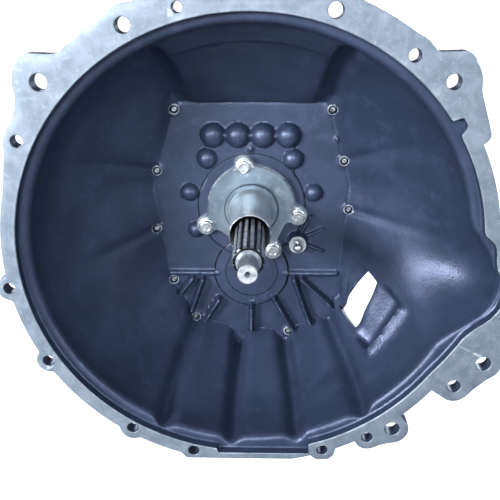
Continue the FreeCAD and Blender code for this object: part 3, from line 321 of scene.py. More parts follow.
    def polygon_reach(self, angle: np.ndarray) -> np.ndarray:
        """Distance from the shaft axis to the straight-sided outline of the front wall, for each angle.

        Args:
            angle: directions in radians.

        Returns:
            The distance in millimetres.
        """
        points = np.array(self.corners)
        bearing = np.arctan2(points[:, 1], points[:, 0])
        order = np.argsort(bearing)
        points, bearing = points[order], bearing[order]
        start, end = points, np.roll(points, -1, axis=0)
        index = (np.searchsorted(bearing, turn_difference(angle, 0.0)) - 1) % len(points)
        edge = end[index] - start[index]
        normal = np.stack([edge[..., 1], -edge[..., 0]], axis=-1)
        offset = np.sum(normal * start[index], axis=-1)
        facing = normal[..., 0] * np.cos(angle) + normal[..., 1] * np.sin(angle)
        return offset / facing

    def wall_outline(self, angle: np.ndarray) -> np.ndarray:
        """Outline of the front wall with rounded corners, flute heads and a fold at each side boss."""
        spread = np.radians(np.linspace(-2.4, 2.4, 13))
        weight = np.exp(-(np.linspace(-1.6, 1.6, 13)) ** 2)
        reach = sum(w * self.polygon_reach(angle + turn) for w, turn in zip(weight, spread))
        reach = reach / weight.sum()
        for middle, width, depth in self.flutes:
            turn = turn_difference(angle, math.radians(middle))
            reach = reach + depth * bump(turn, 0.0, math.radians(width))
        for x, z in self.case_bolts[2:6]:
            turn = turn_difference(angle, math.atan2(z, x))
            reach = reach + 4.0 * bump(turn, 0.0, math.radians(2.4))
        return reach

    def ledge_reach(self, angle: np.ndarray) -> np.ndarray:
        """Radius of the rounded ledge behind the mouth, pushed out where the flutes run through."""
        reach = np.full_like(angle, self.ledge_radius)
        for middle, width, _ in self.flutes:
            turn = turn_difference(angle, math.radians(middle))
            reach = reach + self.flute_mouth * bump(turn, 0.0, math.radians(0.85 * width))
        return reach

    def pocket_outline(self, turn: np.ndarray) -> np.ndarray:
        """Radius of the pocket's outline at the mouth, for turns from the pocket's middle in radians."""
        table = np.array(self.pocket)
        degrees = np.degrees(turn) + self.pocket_middle
        shifts = np.linspace(-0.7, 0.7, 5)
        return sum(np.interp(degrees + shift, table[:, 0], table[:, 1]) for shift in shifts) / len(shifts)

    def pocket_bulge(self, angle: np.ndarray, y: np.ndarray, reach: np.ndarray) -> np.ndarray:
        """How far the starter pocket pushes the bowl's wall out.

        The pocket is an egg: at a depth it is a circle whose radius shrinks as a quarter ellipse. The
        distance to its far side, less the wall's own reach, is averaged over small turns and depths,
        which rounds the brim.
        """
        turns = np.radians((-5.0, -2.5, 0.0, 2.5, 5.0))
        depths = (-16.0, -8.0, 0.0, 8.0, 16.0)
        bulge = np.zeros(np.broadcast(angle, y).shape)
        for turn in turns:
            offset = turn_difference(angle + turn, math.radians(self.pocket_middle))
            across = self.pocket_reach * np.sin(offset)
            for depth in depths:
                closing = 1.0 - (np.clip(y + depth, 0.0, self.pocket_depth) / self.pocket_depth) ** 2
                inside = np.maximum(self.pocket_radius ** 2 * closing - across ** 2, 0.0)
                far = self.pocket_reach * np.cos(offset) + np.sqrt(inside)
                seen = smooth_step(inside, 0.0, 0.60 * self.pocket_radius ** 2) * (np.abs(offset) < 1.0)
                bulge = bulge + seen * np.maximum(far - reach, 0.0)
        return bulge / (len(turns) * len(depths))

    def roof_pad(self, angle: np.ndarray, reach: np.ndarray, share: np.ndarray) -> np.ndarray:
        """Height of the flat trapezoid over the front wall and depth of the hollows beside it."""
        x = reach * np.cos(angle)
        left, right = -62.0 - 18.0 * share, 66.0 + 12.0 * share
        pad = smooth_step(x, left - 3.0, left + 3.0) * (1.0 - smooth_step(x, right - 3.0, right + 3.0))
        hollow = bump(x, left - 10.0, 8.0) + bump(x, right + 10.0, 8.0)
        ridge = 0.35 * bump(share, 0.70, 0.03) * pad
        fade = smooth_step(share, 0.0, 0.07) * (1.0 - smooth_step(share, 0.74, 0.95))
        return np.where(np.sin(angle) > 0.0, (6.0 * pad - 6.5 * hollow + 5.0 * ridge) * fade, 0.0)

    def window_shelf(self, angle: np.ndarray, y: np.ndarray, reach: np.ndarray) -> np.ndarray:
        """Shelf, groove and ridge between the fork window and the mouth, as an offset of the radius."""
        across = reach * np.sin(turn_difference(angle, math.radians(self.window_angle)))
        near = np.abs(turn_difference(angle, math.radians(self.window_angle))) < 0.6
        inside = smooth_step(across, -33.0, -25.0) * (1.0 - smooth_step(across, 25.0, 33.0)) * near
        wide = smooth_step(across, -36.0, -26.0) * (1.0 - smooth_step(across, 26.0, 36.0)) * near
        shelf = 9.0 * (1.0 - smooth_step(y, 91.0, 103.0)) * smooth_step(y, 74.0, 90.0)
        ridge = 4.5 * bump(y, 73.0, 5.0)
        return inside * shelf - wide * ridge

    def bowl_reach(self, angle: np.ndarray, y: np.ndarray) -> np.ndarray:
        """Radius of the bowl's inside at a depth: from the ledge it curves in to the wall outline.

        The share of the ledge is the sine of a quarter turn along the depth; the roof pad, the shelf by
        the window and the pocket are added to that.
        """
        share = np.clip((self.wall_face - y) / (self.wall_face - self.ledge_depth), 0.0, 1.0)
        rim = self.pocket_outline(turn_difference(angle, math.radians(self.pocket_middle)))
        limit = rim - 1.5 + 40.0 * smooth_step(y, self.ledge_depth, 55.0)
        curve = np.sin(0.5 * math.pi * share)
        reach = self.wall_outline(angle) * (1.0 - curve) + self.ledge_reach(angle) * curve
        reach = reach - self.roof_pad(angle, reach, share)
        bulge = self.pocket_bulge(angle, y, reach)
        shelf = self.window_shelf(angle, y, reach)
        return np.where(bulge > 0.0, np.minimum(reach + bulge, np.maximum(limit, reach)), reach) + shelf

    def mouth_reach(self, angle: np.ndarray) -> np.ndarray:
        """Radius of the opening in the flange, with the pocket, the key slot and the drip recess."""
        reach = self.pocket_outline(turn_difference(angle, math.radians(self.pocket_middle)))
        turn = turn_difference(angle, math.radians(34.0))
        slot = smooth_step(turn, math.radians(-2.3), math.radians(-0.7))
        slot = slot * (1.0 - smooth_step(turn, math.radians(1.2), math.radians(2.1)))
        reach = reach + 8.5 * slot
        x, z = self.mouth_radius * np.cos(angle), self.mouth_radius * np.sin(angle)
        drip = smooth_step(x, -31.0, -28.0) * (1.0 - smooth_step(x, 54.0, 57.0))
        flat = 202.5 / np.maximum(-np.sin(angle), 0.1)
        return np.where(z < 0.0, reach + drip * np.maximum(flat - reach, 0.0), reach)

    def rim_reach(self, angle: np.ndarray) -> np.ndarray:
        """Outline of the flange: rim, crown, a blended ear round every hole, and the flat sump edge."""
        reach = np.full_like(angle, self.rim_radius)
        over = self.crown_radius * np.sin(angle) > self.crown_height
        reach = np.where(over, self.crown_radius, reach)
        for start, end in self.edges:
            along = np.zeros_like(angle)
            for share in np.linspace(0.0, 1.0, 33):
                disc = [a + share * (b - a) for a, b in zip(start, end)]
                along = np.maximum(along, disc_reach(angle, *disc))
            reach = smooth_max(reach, along, 3.0)
        for turn, out, bore, metal in self.ears:
            disc = polar(self.mouth_radius + out, turn) + (bore / 2.0 + metal,)
            reach = smooth_max(reach, disc_reach(angle, *disc), 4.0)
        flat = self.sump_height / np.minimum(np.sin(angle), -0.1)
        return np.where(np.sin(angle) < -0.5, np.minimum(reach, flat), reach)

    def wall_height(self, x: np.ndarray, z: np.ndarray) -> np.ndarray:
        """Height of the domes, seats and ribs above the front wall, at each place.

        Args:
            x: places in millimetres.
            z: places in millimetres.

        Returns:
            Height towards the engine, in millimetres.
        """
        height = 3.0 * (1.0 - smooth_step(np.hypot(x, z), 54.6, 57.0))
        plateau = smooth_step(x, -48.0, -46.0) * (1.0 - smooth_step(x, 43.0, 45.0))
        plateau = plateau * smooth_step(z, 20.0, 30.0) * (1.0 - smooth_step(z, 73.0, 76.0))
        height = smooth_max(height, 3.0 * plateau, 0.6)
        row = [(across, self.rail_height, self.rail_dome) for across in self.rails]
        for cx, cz, radius in row + list(self.side_domes):
            inside = radius ** 2 - (x - cx) ** 2 - (z - cz) ** 2
            height = smooth_max(height, np.sqrt(np.maximum(inside, 0.0)) * 0.98, 1.4)
        for cx in (0.5 * (left + right) for left, right in zip(self.rails, self.rails[1:])):
            height = smooth_max(height, 7.5 * bump(x, cx, 3.6) * bump(z, self.rail_height, 5.0), 1.8)
        height = smooth_max(height, 6.0 * bump(x, -1.0, 5.0) * bump(z, 62.0, 6.0), 1.5)
        height = smooth_max(height, 5.5 * (1.0 - smooth_step(np.hypot(x - 89.5, z - 72.0), 2.0, 8.0)), 1.2)
        from_plug = np.hypot(x, z - self.plug_z)
        height = smooth_max(height, 4.0 * (1.0 - smooth_step(from_plug, 39.0, 40.6)), 0.6)
        for cx, cz in self.case_bolts:
            away = np.hypot(x - cx, z - cz)
            height = smooth_max(height, 2.4 * (1.0 - smooth_step(away, 7.0, 8.6)), 0.8)
        for start, end, tall in self.fan_ribs:
            height = smooth_max(height, self.rib(x, z, start, end, 2.2, tall), 2.0)
        for side in (-1.0, 1.0):
            level = self.rib(x, z, (side * 36.0, -76.0), (side * 95.0, -76.0), 2.4, 5.0)
            height = smooth_max(height, level, 1.4)
        cx, cz = self.stud
        seat = self.stud_height * (1.0 - smooth_step(np.hypot(x - cx, z - cz), 8.0, 12.5))
        height = smooth_max(height, seat, 1.6)
        for turn in self.stud_webs:
            dx, dz = polar(self.web_length, turn)
            height = smooth_max(height, self.rib(x, z, self.stud, (cx + dx, cz + dz), 1.5, 5.0), 1.0)
        return height

    @staticmethod
    def rib(x: np.ndarray, z: np.ndarray, start: tuple, end: tuple, half: float, tall: float) -> np.ndarray:
        """Height of a drafted rib with a rounded back between two places.

        Args:
            x: places in millimetres.
            z: places in millimetres.
            start: place where the rib begins.
            end: place where it ends.
            half: half of its width at the back.
            tall: its height.

        Returns:
            Height of the rib at each place; it falls with the distance from the line.
        """
        run = np.array(end, dtype=float) - np.array(start, dtype=float)
        length = math.hypot(*run)
        along = ((x - start[0]) * run[0] + (z - start[1]) * run[1]) / length
        across = np.abs((x - start[0]) * run[1] - (z - start[1]) * run[0]) / length
        beyond = np.maximum(np.maximum(-along, along - length), 0.0)
        return tall * (1.0 - smooth_step(np.hypot(across, beyond), 0.35 * half, 2.0 * half))

    def column_angles(self) -> np.ndarray:
        """Angles of the columns, closer together where the outlines are steep and on the lower wall."""
        fine = np.linspace(-math.pi, math.pi, 7201)
        slope = np.abs(np.gradient(self.rim_reach(fine), fine)) / self.rim_radius
        slope = slope + np.abs(np.gradient(self.mouth_reach(fine), fine)) / self.rim_radius
        density = 1.0 + np.clip(slope, 0.0, 3.0)
        density = density + 0.5 * ((fine > math.radians(-150)) & (fine < math.radians(-15)))
        total = np.concatenate([[0.0], np.cumsum(0.5 * (density[1:] + density[:-1]))])
        return np.interp(np.linspace(0.0, total[-1], self.columns, endpoint=False), total, fine)

    def inner_profile(self, angle: np.ndarray) -> np.ndarray:
        """Rings from under the retainer over the front wall and up the bowl to the ledge.

        Args:
            angle: angle of each column in radians.

        Returns:
            Points of shape (rings, columns, 3).
        """
        edge = self.bowl_reach(angle, np.full_like(angle, self.wall_face))
        share = np.linspace(0.0, 1.0, self.profile_steps)[:, None]
        radius = self.hidden_radius + share * (edge - self.hidden_radius)
        floor = self.wall_face - self.wall_height(radius * np.cos(angle), radius * np.sin(angle))
        depth = np.linspace(self.wall_face, self.ledge_depth, self.profile_steps)[1:, None]
        depth = depth * np.ones_like(angle)
        wall = self.bowl_reach(angle[None, :] * np.ones_like(depth), depth)
        radius = np.concatenate([radius, wall])
        y = np.concatenate([floor, depth])
        rows = np.stack([radius * np.cos(angle), y, radius * np.sin(angle)], axis=-1)
        rows = resampled(rows, self.fine_rings)
        corner = np.argmin(np.abs(np.hypot(rows[..., 0], rows[..., 2]) - edge)
                           + 0.2 * np.abs(rows[..., 1] - self.wall_face), axis=0)
        index = np.arange(self.fine_rings)
        away = (index[:, None] - corner[None, :]) / 20.0
        near = np.exp(-away ** 2)[..., None]
        rows = rows * (1.0 - near) + self.softened(rows, 10) * near
        density = np.interp(index, [0, 330, 430, self.fine_rings - 1], [1.0, 1.0, 0.5, 0.4])
        return resampled(rows, self.inner_rings, density)

    @staticmethod
    def softened(rows: np.ndarray, reach: int) -> np.ndarray:
        """Moving average along the columns, which rounds corners."""
        kernel = np.hanning(2 * reach + 3)[1:-1]
        kernel = kernel / kernel.sum()
        before, after = np.repeat(rows[:1], reach, axis=0), np.repeat(rows[-1:], reach, axis=0)
        padded = np.concatenate([before, rows, after])
        return sum(weight * padded[i:i + len(rows)] for i, weight in enumerate(kernel))

    def outer_reach(self, angle: np.ndarray, y: float) -> np.ndarray:
        """Radius of the casting's outside at a depth: inside plus skin, and never past the rim's margin."""
        inside = self.bowl_reach(angle, np.full_like(angle, min(y + 1.0, self.wall_face)))
        return np.minimum(inside + self.skin + self.skin_blend, self.rim_reach(angle) - self.rim_margin)

    def rings(self) -> np.ndarray:
        """All rings of the casting, from the hidden seat through the mouth and round the outside."""
        angle = self.column_angles()
        inner = self.inner_profile(angle)
        ledge = self.bowl_reach(angle, np.full_like(angle, self.ledge_depth))
        mouth = self.mouth_reach(angle)
        rim = self.rim_reach(angle)
        flange = self.flange_thick
        step = np.clip(mouth - ledge, 0.5, 9.5) * 0.62
        rows = [(ledge + step * (1.0 - math.cos(phase)), self.ledge_depth - 7.0 * math.sin(phase))
                for phase in np.radians(np.linspace(12.0, 90.0, 7))]
        rows += [(mouth - 1.2, 9.8), (mouth, 8.6), (mouth, 4.5), (mouth, 0.7), (mouth + 0.7, 0.0)]
        rows += [(mouth * (1.0 - k) + (rim - 1.0) * k + 0.7 * (1.0 - k), 0.0) for k in (0.33, 0.67)]
        rows += [(rim - 1.0, 0.0), (rim - 0.3, 0.25), (rim, 1.0), (rim, flange - 1.5),
                 (rim - 0.5, flange - 0.4), (rim - 1.6, flange)]
        outer = self.outer_reach(angle, flange)
        gap = np.maximum(rim - 1.6 - outer, 0.5)
        rows += [(outer + gap * 0.5, flange), (outer + np.minimum(gap * 0.4, 4.0), flange),
                 (outer + np.minimum(gap * 0.15, 1.2), flange + 1.2)]
        for share in np.linspace(0.04, 0.97, 18):
            y = flange + share * (self.wall_rear - flange)
            rows.append((self.outer_reach(angle, y), y))
        last = self.outer_reach(angle, self.wall_rear)
        rows += [(last - 0.6, self.wall_rear - 0.8), (last - 2.0, self.wall_rear)]
        rows += [(np.full_like(angle, radius), y) for radius, y in
                 ((46, 157), (44, 165), (36.5, 165), (36.5, 147.5), (32, 147), (32, 144), (38, 144))]
        ring = [np.stack([radius * np.cos(angle), np.broadcast_to(y, angle.shape), radius * np.sin(angle)],
                         axis=-1) for radius, y in rows]
        return np.concatenate([inner, np.array(ring)])

    def rounded_bar(self, name: str, grow: float, margin: float | None, end: float) -> bpy.types.Object:
        """Bar along the window's direction with a rounded section.

        Args:
            name: name of the bar.
            grow: how much larger than the window it is on each side.
            margin: way from the bowl's inside to the bar's inner end; without it the end is flat.
            end: distance of its outer end from the shaft axis.

        Returns:
            The bar as a closed mesh.
        """
        turn = np.linspace(0.0, 2.0 * math.pi, 48, endpoint=False)
        corner = 5.0 + grow
        half_deep = (self.window_rear - self.window_front) / 2.0 + grow
        across = np.clip(1.6 * np.cos(turn), -1.0, 1.0) * (self.window_half + grow - corner)
        deep = np.clip(1.6 * np.sin(turn), -1.0, 1.0) * (half_deep - corner)
        across, deep = across + corner * np.cos(turn), deep + corner * np.sin(turn)
        y = (self.window_front + self.window_rear) / 2.0 + deep
        dx, dz = polar(1.0, self.window_angle)
        start = np.full_like(y, 88.0)
        if margin is not None:
            turn = np.arctan2(across, 130.0)
            wall = self.bowl_reach(turn + math.radians(self.window_angle), np.minimum(y, self.wall_face))
            start = wall * np.cos(turn) + margin
        end = np.maximum(end, start + 1.0)
        rows = [np.stack([reach * dx - across * dz, y, reach * dz + across * dx], axis=-1)
                for reach in (start + share * (end - start) for share in np.linspace(0.0, 1.0, 6))]
        return grid_mesh(name, np.array(rows), False)

    def gusset(self, degrees: float) -> bpy.types.Object:
        """One gusset: its section is carried from the flange to the rear edge of the bowl."""
        y = np.linspace(self.flange_thick - 1.0, self.wall_rear - 2.0, 20)
        angle = np.full_like(y, math.radians(degrees))
        beside = [self.bowl_reach(angle + math.radians(turn), np.minimum(y, self.wall_face))
                  for turn in (-1.6, 0.0, 1.6)]
        inner = np.maximum.reduce(beside) + 2.5
        outer = np.maximum(np.interp(y, [13.0, 22.0, 155.0], [208.0, 207.0, 153.0]), inner + 2.0)
        dx, dz = polar(1.0, degrees)
        section = [(inner, -3.5), (outer - 1.2, -3.5), (outer, -2.3), (outer, 2.3), (outer - 1.2, 3.5),
                   (inner, 3.5)]
        rows = np.stack([np.stack([reach * dx - side * dz, y, reach * dz + side * dx], axis=-1)
                         for reach, side in section], axis=1)
        return grid_mesh(f"gusset_{degrees:.0f}", rows, False)

    def additions(self) -> list[bpy.types.Object]:
        """Forms that are joined to the body: gussets, lugs, bearing boss, window collar, boss rims."""
        pieces = [self.gusset(degrees) for degrees in self.gussets]
        lug = [(8.0, 148.5), (10.4, 148.5), (11.0, 149.1), (11.0, 156.4), (10.4, 157.0), (8.0, 157.0)]
        pieces += [grid_mesh("lug", turned(lug, 40, x, z), False) for x, z in self.case_bolts]
        rim = [(3.0, 149.0), (5.8, 149.0), (5.6, 144.6), (5.0, 143.7), (3.0, 143.7)]
        pieces += [grid_mesh("boss_rim", turned(rim, 40, x, z), False) for x, z in self.case_bolts]
        boss = [(20.0, 150.0), (32.0, 150.0), (32.0, 164.0), (31.0, 165.0), (20.0, 165.0)]
        pieces.append(grid_mesh("counter_boss", turned(boss, 72, 0.0, self.plug_z), False))
        pieces.append(self.rounded_bar("window_collar", 7.0, 4.0, self.collar_end))
        return pieces

    def holes(self) -> bpy.types.Object:
        """One object with a cutter for every hole; those of the flange are chamfered."""
        cutters = []
        for turn, out, bore, _ in self.ears:
            x, z = polar(self.mouth_radius + out, turn)
            radius = bore / 2.0
            profile = [(radius + 1.3, -1.0), (radius + 0.6, -0.1), (radius, 0.6), (radius, 40.0)]
            cutters.append(turned(profile, 40, x, z))
        plain = [(x, z, self.bolt_hole, 130.0, self.through) for x, z in self.case_bolts]
        plain += [(x, z, self.pin_hole, 149.6, self.through) for x, z in self.dowels]
        plain += [(x, z, self.bolt_hole, 130.0, 154.0) for x, z in self.retainer_bolts]
        plain += [(x, self.rail_height, self.rail_hole, 142.0, self.through) for x in self.rails]
        plain += [(*self.stud, self.pin_hole, 120.0, 154.0),
                  (0.0, self.plug_z, self.plug_hole, 149.8, self.through)]
        cutters += [turned([(radius, front), (radius, rear)], 40, x, z)
                    for x, z, radius, front, rear in plain]
        return joined([grid_mesh("hole", rows, False) for rows in cutters], "holes")

    def build(self, paint: bpy.types.Material, machined: bpy.types.Material) -> bpy.types.Object:
        """Build the casting, join its outer forms and cut its holes.

        Args:
            paint: finish of the casting.
            machined: finish of the flange face and of the rims of the bosses.

        Returns:
            The casting as one closed mesh.
        """
        body = grid_mesh("bell_casting", self.rings(), True)
        for piece in self.additions():
            cut_by(body, piece, "UNION")
        cut_by(body, self.rounded_bar("window", 0.0, None, 245.0), "DIFFERENCE")
        cut_by(body, self.holes(), "DIFFERENCE")
        mesh = body.data
        mesh.name = body.name
        mesh.set_sharp_from_angle(angle=math.radians(34.0))
        mesh.materials.clear()
        mesh.materials.append(paint)
        mesh.materials.append(machined)
        normal = np.empty(len(mesh.polygons) * 3)
        middle = np.empty(len(mesh.polygons) * 3)
        mesh.polygons.foreach_get("normal", normal)
        mesh.polygons.foreach_get("center", middle)
        normal, middle = normal.reshape(-1, 3), middle.reshape(-1, 3) / MM
        bright = (normal[:, 1] < -0.25) & (middle[:, 1] < 0.7)
        for x, z in self.case_bolts:
            away = np.hypot(middle[:, 0] - x, middle[:, 2] - z)
            bright |= (away < 5.3) & (middle[:, 1] < 144.5) & (normal[:, 1] < -0.5)
        mesh.polygons.foreach_set("material_index", bright.astype(np.int32))
        return body


# ---------------------------------------------------------------- fasteners
@dataclass
class FlangedBolts:
    """A set of equal hexagon bolts with a washer flange, a chamfered head and a coned tip."""

    name: str
    node: str
    places: tuple
    head_front: float
    tip: float
    diameter: float = 8.0
    head_share: float = 0.75
    corner_share: float = 0.86
    flange: float = 1.5
    columns: int = 60

    def rows(self, x: float, z: float) -> np.ndarray:
        """Rings of one bolt from its head to its tip.

        Each ring's radius is the smaller of a circle and a hexagon; on the skirt and the shank only the
        circle counts.

        Args:
            x: place of the bolt's axis.
            z: place of the bolt's axis.

        Returns:
            Points of shape (rings, columns, 3).
        """
        sign = 1.0 if self.tip > self.head_front else -1.0
        corner, head = self.corner_share * self.diameter, self.head_share * self.diameter
        skirt, shank = self.diameter, self.diameter / 2.0 - 0.02
        length = abs(self.tip - self.head_front)
        # circle radius, way from the head's end, and 1 where the hexagon also counts
        spec = np.array([
            (0.40 * corner, 0.35, 0), (0.48 * corner, 0.35, 0), (0.56 * corner, 0.0, 0),
            (0.80 * corner, 0.0, 0), (0.87 * corner, 0.25, 1), (0.98 * corner, 0.8, 1),
            (0.98 * corner, head - self.flange - 0.5, 1), (0.99 * corner, head - self.flange - 0.1, 1),
            (0.93 * skirt, head - self.flange + 0.2, 0), (0.985 * skirt, head - self.flange + 0.55, 0),
            (skirt, head - 0.4, 0), (0.985 * skirt, head, 0), (shank + 0.2, head, 0),
            (shank, head + 0.3, 0), (shank, length - 1.4, 0), (0.62 * shank, length, 0),
        ])
        angle = np.linspace(0.0, 2.0 * math.pi, self.columns, endpoint=False)
        turn = (angle + math.pi / 6.0) % (math.pi / 3.0) - math.pi / 6.0
        hexagon = corner * math.cos(math.pi / 6.0) / np.cos(turn)
        circle = spec[:, :1] * np.ones_like(angle)
        reach = np.where(spec[:, 2:] > 0.5, np.minimum(circle, hexagon), circle)
        profile = [(radius, self.head_front + sign * way) for radius, way in spec[:, :2]]
        return turned(profile, self.columns, x, z, reach / circle)

    def build(self, metal: bpy.types.Material) -> bpy.types.Object:
        """Build the set as one object.

        Args:
            metal: finish of the bolts.

        Returns:
            The bolts.
        """
        pieces = [grid_mesh(self.name, self.rows(x, z), False, 28.0) for x, z in self.places]
        bolts = joined(pieces, self.name)
        bolts.data.materials.append(metal)
        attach(bolts, "housing")
        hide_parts(self.node)
        return bolts


# ---------------------------------------------------------------- finishes
class NodeGroup:
    """Builds a named shader node group of colours, masks and heights."""

    def __init__(self, name: str, inputs: Sequence[tuple], outputs: Sequence[str]) -> None:
        """Create the group and its sockets.

        Args:
            name: name of the group.
            inputs: (name, default) of each number that goes in.
            outputs: name of each mask or height that comes out.
        """
        self.tree = bpy.data.node_groups.new(name, "ShaderNodeTree")
        for label, default in inputs:
            socket = self.tree.interface.new_socket(label, in_out="INPUT", socket_type="NodeSocketFloat")
            socket.default_value = default
        for label in outputs:
            self.tree.interface.new_socket(label, in_out="OUTPUT", socket_type="NodeSocketFloat")
        self.source = self.tree.nodes.new("NodeGroupInput")
        self.result = self.tree.nodes.new("NodeGroupOutput")
        self.place = self.tree.nodes.new("ShaderNodeTexCoord").outputs["Object"]

    def link(self, start: bpy.types.NodeSocket, end: bpy.types.NodeSocket) -> None:
        """Join two sockets."""
        self.tree.links.new(start, end)

    def give(self, value: bpy.types.NodeSocket, label: str) -> None:
        """Pass a value to a named output."""
        self.link(value, self.result.inputs[label])

    def math(self, operation: str, first: object, second: object = 0.0, clamp: bool = False) -> object:
        """Add a Math node.

        Args:
            operation: name of the operation.
            first: socket or number.
            second: socket or number.
            clamp: whether the result stays between 0 and 1.

        Returns:
            The result's socket.
        """
        node = self.tree.nodes.new("ShaderNodeMath")
        node.operation = operation
        node.use_clamp = clamp
        for index, value in enumerate((first, second)):
            if isinstance(value, bpy.types.NodeSocket):
                self.link(value, node.inputs[index])
            else:
                node.inputs[index].default_value = value
        return node.outputs["Value"]

    def noise(self, scale: object, detail: float, roughness: float, distortion: float = 0.0) -> object:
        """Add a noise on Object coordinates.

        Args:
            scale: socket or number.
            detail: octaves.
            roughness: share of the finer octaves.
            distortion: how far the pattern is warped.

        Returns:
            The noise's socket.
        """
        node = self.tree.nodes.new("ShaderNodeTexNoise")
        node.inputs["Detail"].default_value = detail
        node.inputs["Roughness"].default_value = roughness
        node.inputs["Distortion"].default_value = distortion
        if isinstance(scale, bpy.types.NodeSocket):
            self.link(scale, node.inputs["Scale"])
        else:
            node.inputs["Scale"].default_value = scale
        self.link(self.place, node.inputs["Vector"])
        return node.outputs["Fac"]

    def spread(self, value: bpy.types.NodeSocket, low: float, high: float) -> bpy.types.NodeSocket:
        """Stretch a value so that low becomes 0 and high becomes 1."""
        node = self.tree.nodes.new("ShaderNodeMapRange")
        node.interpolation_type = "SMOOTHSTEP"
        node.inputs["From Min"].default_value = low
        node.inputs["From Max"].default_value = high
        self.link(value, node.inputs["Value"])
        return node.outputs["Result"]


def grain_group() -> bpy.types.NodeTree:
    """Sand-cast skin: pebbled grain in two sizes as a height, and a broad mottling mask."""
    group = NodeGroup("cast_grain", [("Size", 900.0)], ["Height", "Mottle"])
    size = group.source.outputs["Size"]
    fine = group.noise(size, 3.0, 0.6)
    coarse = group.noise(group.math("MULTIPLY", size, 0.3), 2.0, 0.5)
    height = group.math("ADD", group.math("MULTIPLY", fine, 0.6), group.math("MULTIPLY", coarse, 0.4))
    group.give(height, "Height")
    group.give(group.noise(22.0, 5.0, 0.62), "Mottle")
    return group.tree


def stain_group() -> bpy.types.NodeTree:
    """Cloudy stains: a broad mask and a finer one."""
    group = NodeGroup("cloudy_stains", [("Scale", 60.0)], ["Stain", "Bloom"])
    scale = group.source.outputs["Scale"]
    group.give(group.spread(group.noise(scale, 6.0, 0.65, 0.4), 0.38, 0.66), "Stain")
    finer = group.noise(group.math("MULTIPLY", scale, 3.1), 5.0, 0.7, 0.2)
    group.give(group.spread(finer, 0.5, 0.72), "Bloom")
    return group.tree


def wear_group() -> bpy.types.NodeTree:
    """Wear along edges: a mask that is 1 on sharp outward edges, broken up by noise."""
    group = NodeGroup("edge_wear", [("Amount", 1.0)], ["Mask"])
    pointed = group.tree.nodes.new("ShaderNodeNewGeometry").outputs["Pointiness"]
    patches = group.spread(group.noise(140.0, 4.0, 0.5), 0.35, 0.6)
    edge = group.math("MULTIPLY", group.spread(pointed, 0.53, 0.60), patches)
    group.give(group.math("MULTIPLY", edge, group.source.outputs["Amount"], True), "Mask")
    return group.tree


def ring_group() -> bpy.types.NodeTree:
    """Ring about an axis along Y: a mask that is 1 between two radii and between two planes."""
    group = NodeGroup("ring_mask", [("Centre Z", 0.0), ("Inner", 0.0), ("Outer", 0.01), ("Front", -1.0),
                                    ("Rear", 1.0), ("Soft", 0.0005), ("Strength", 1.0)], ["Mask"])
    inputs = group.source.outputs
    split = group.tree.nodes.new("ShaderNodeSeparateXYZ")
    group.link(group.place, split.inputs["Vector"])
    height = group.math("SUBTRACT", split.outputs["Z"], inputs["Centre Z"])
    squares = group.math("ADD", group.math("MULTIPLY", split.outputs["X"], split.outputs["X"]),
                         group.math("MULTIPLY", height, height))
    radius = group.math("SQRT", squares)
    mask, along = inputs["Strength"], split.outputs["Y"]
    limits = ((radius, inputs["Inner"]), (inputs["Outer"], radius), (along, inputs["Front"]),
              (inputs["Rear"], along))
    for larger, smaller in limits:
        inside = group.math("DIVIDE", group.math("SUBTRACT", larger, smaller), inputs["Soft"], True)
        mask = group.math("MULTIPLY", mask, inside)
    group.give(mask, "Mask")
    return group.tree


def side_highlight_group() -> bpy.types.NodeTree:
    """Painted highlight on side faces: a mask that is 1 where a face looks away from the shaft's direction;
    those faces get a lighter colour.
    """
    group = NodeGroup("painted_side_highlight", [("Amount", 1.0)], ["Mask"])
    split = group.tree.nodes.new("ShaderNodeSeparateXYZ")
    group.link(group.tree.nodes.new("ShaderNodeNewGeometry").outputs["True Normal"], split.inputs["Vector"])
    facing = group.math("ABSOLUTE", split.outputs["Y"])
    side = group.math("SUBTRACT", 1.0, group.spread(facing, 0.35, 0.6))
    group.give(group.math("MULTIPLY", side, group.source.outputs["Amount"]), "Mask")
    return group.tree


@dataclass(frozen=True)
class Groups:
    """The shared effects, made once."""

    grain: bpy.types.NodeTree = field(default_factory=grain_group)
    stains: bpy.types.NodeTree = field(default_factory=stain_group)
    wear: bpy.types.NodeTree = field(default_factory=wear_group)
    ring: bpy.types.NodeTree = field(default_factory=ring_group)
    # mask of the painted highlight on side faces
    sides: bpy.types.NodeTree = field(default_factory=side_highlight_group)


@dataclass(frozen=True)
class Ring:
    """A darker ring: height of its axis, its two radii, its two planes and its strength. On the casting and
    the retainer it is painted shade in a crease or groove.
    """

    height: float
    inner: float
    outer: float
    front: float = -1000.0
    rear: float = 1000.0
    strength: float = 1.0


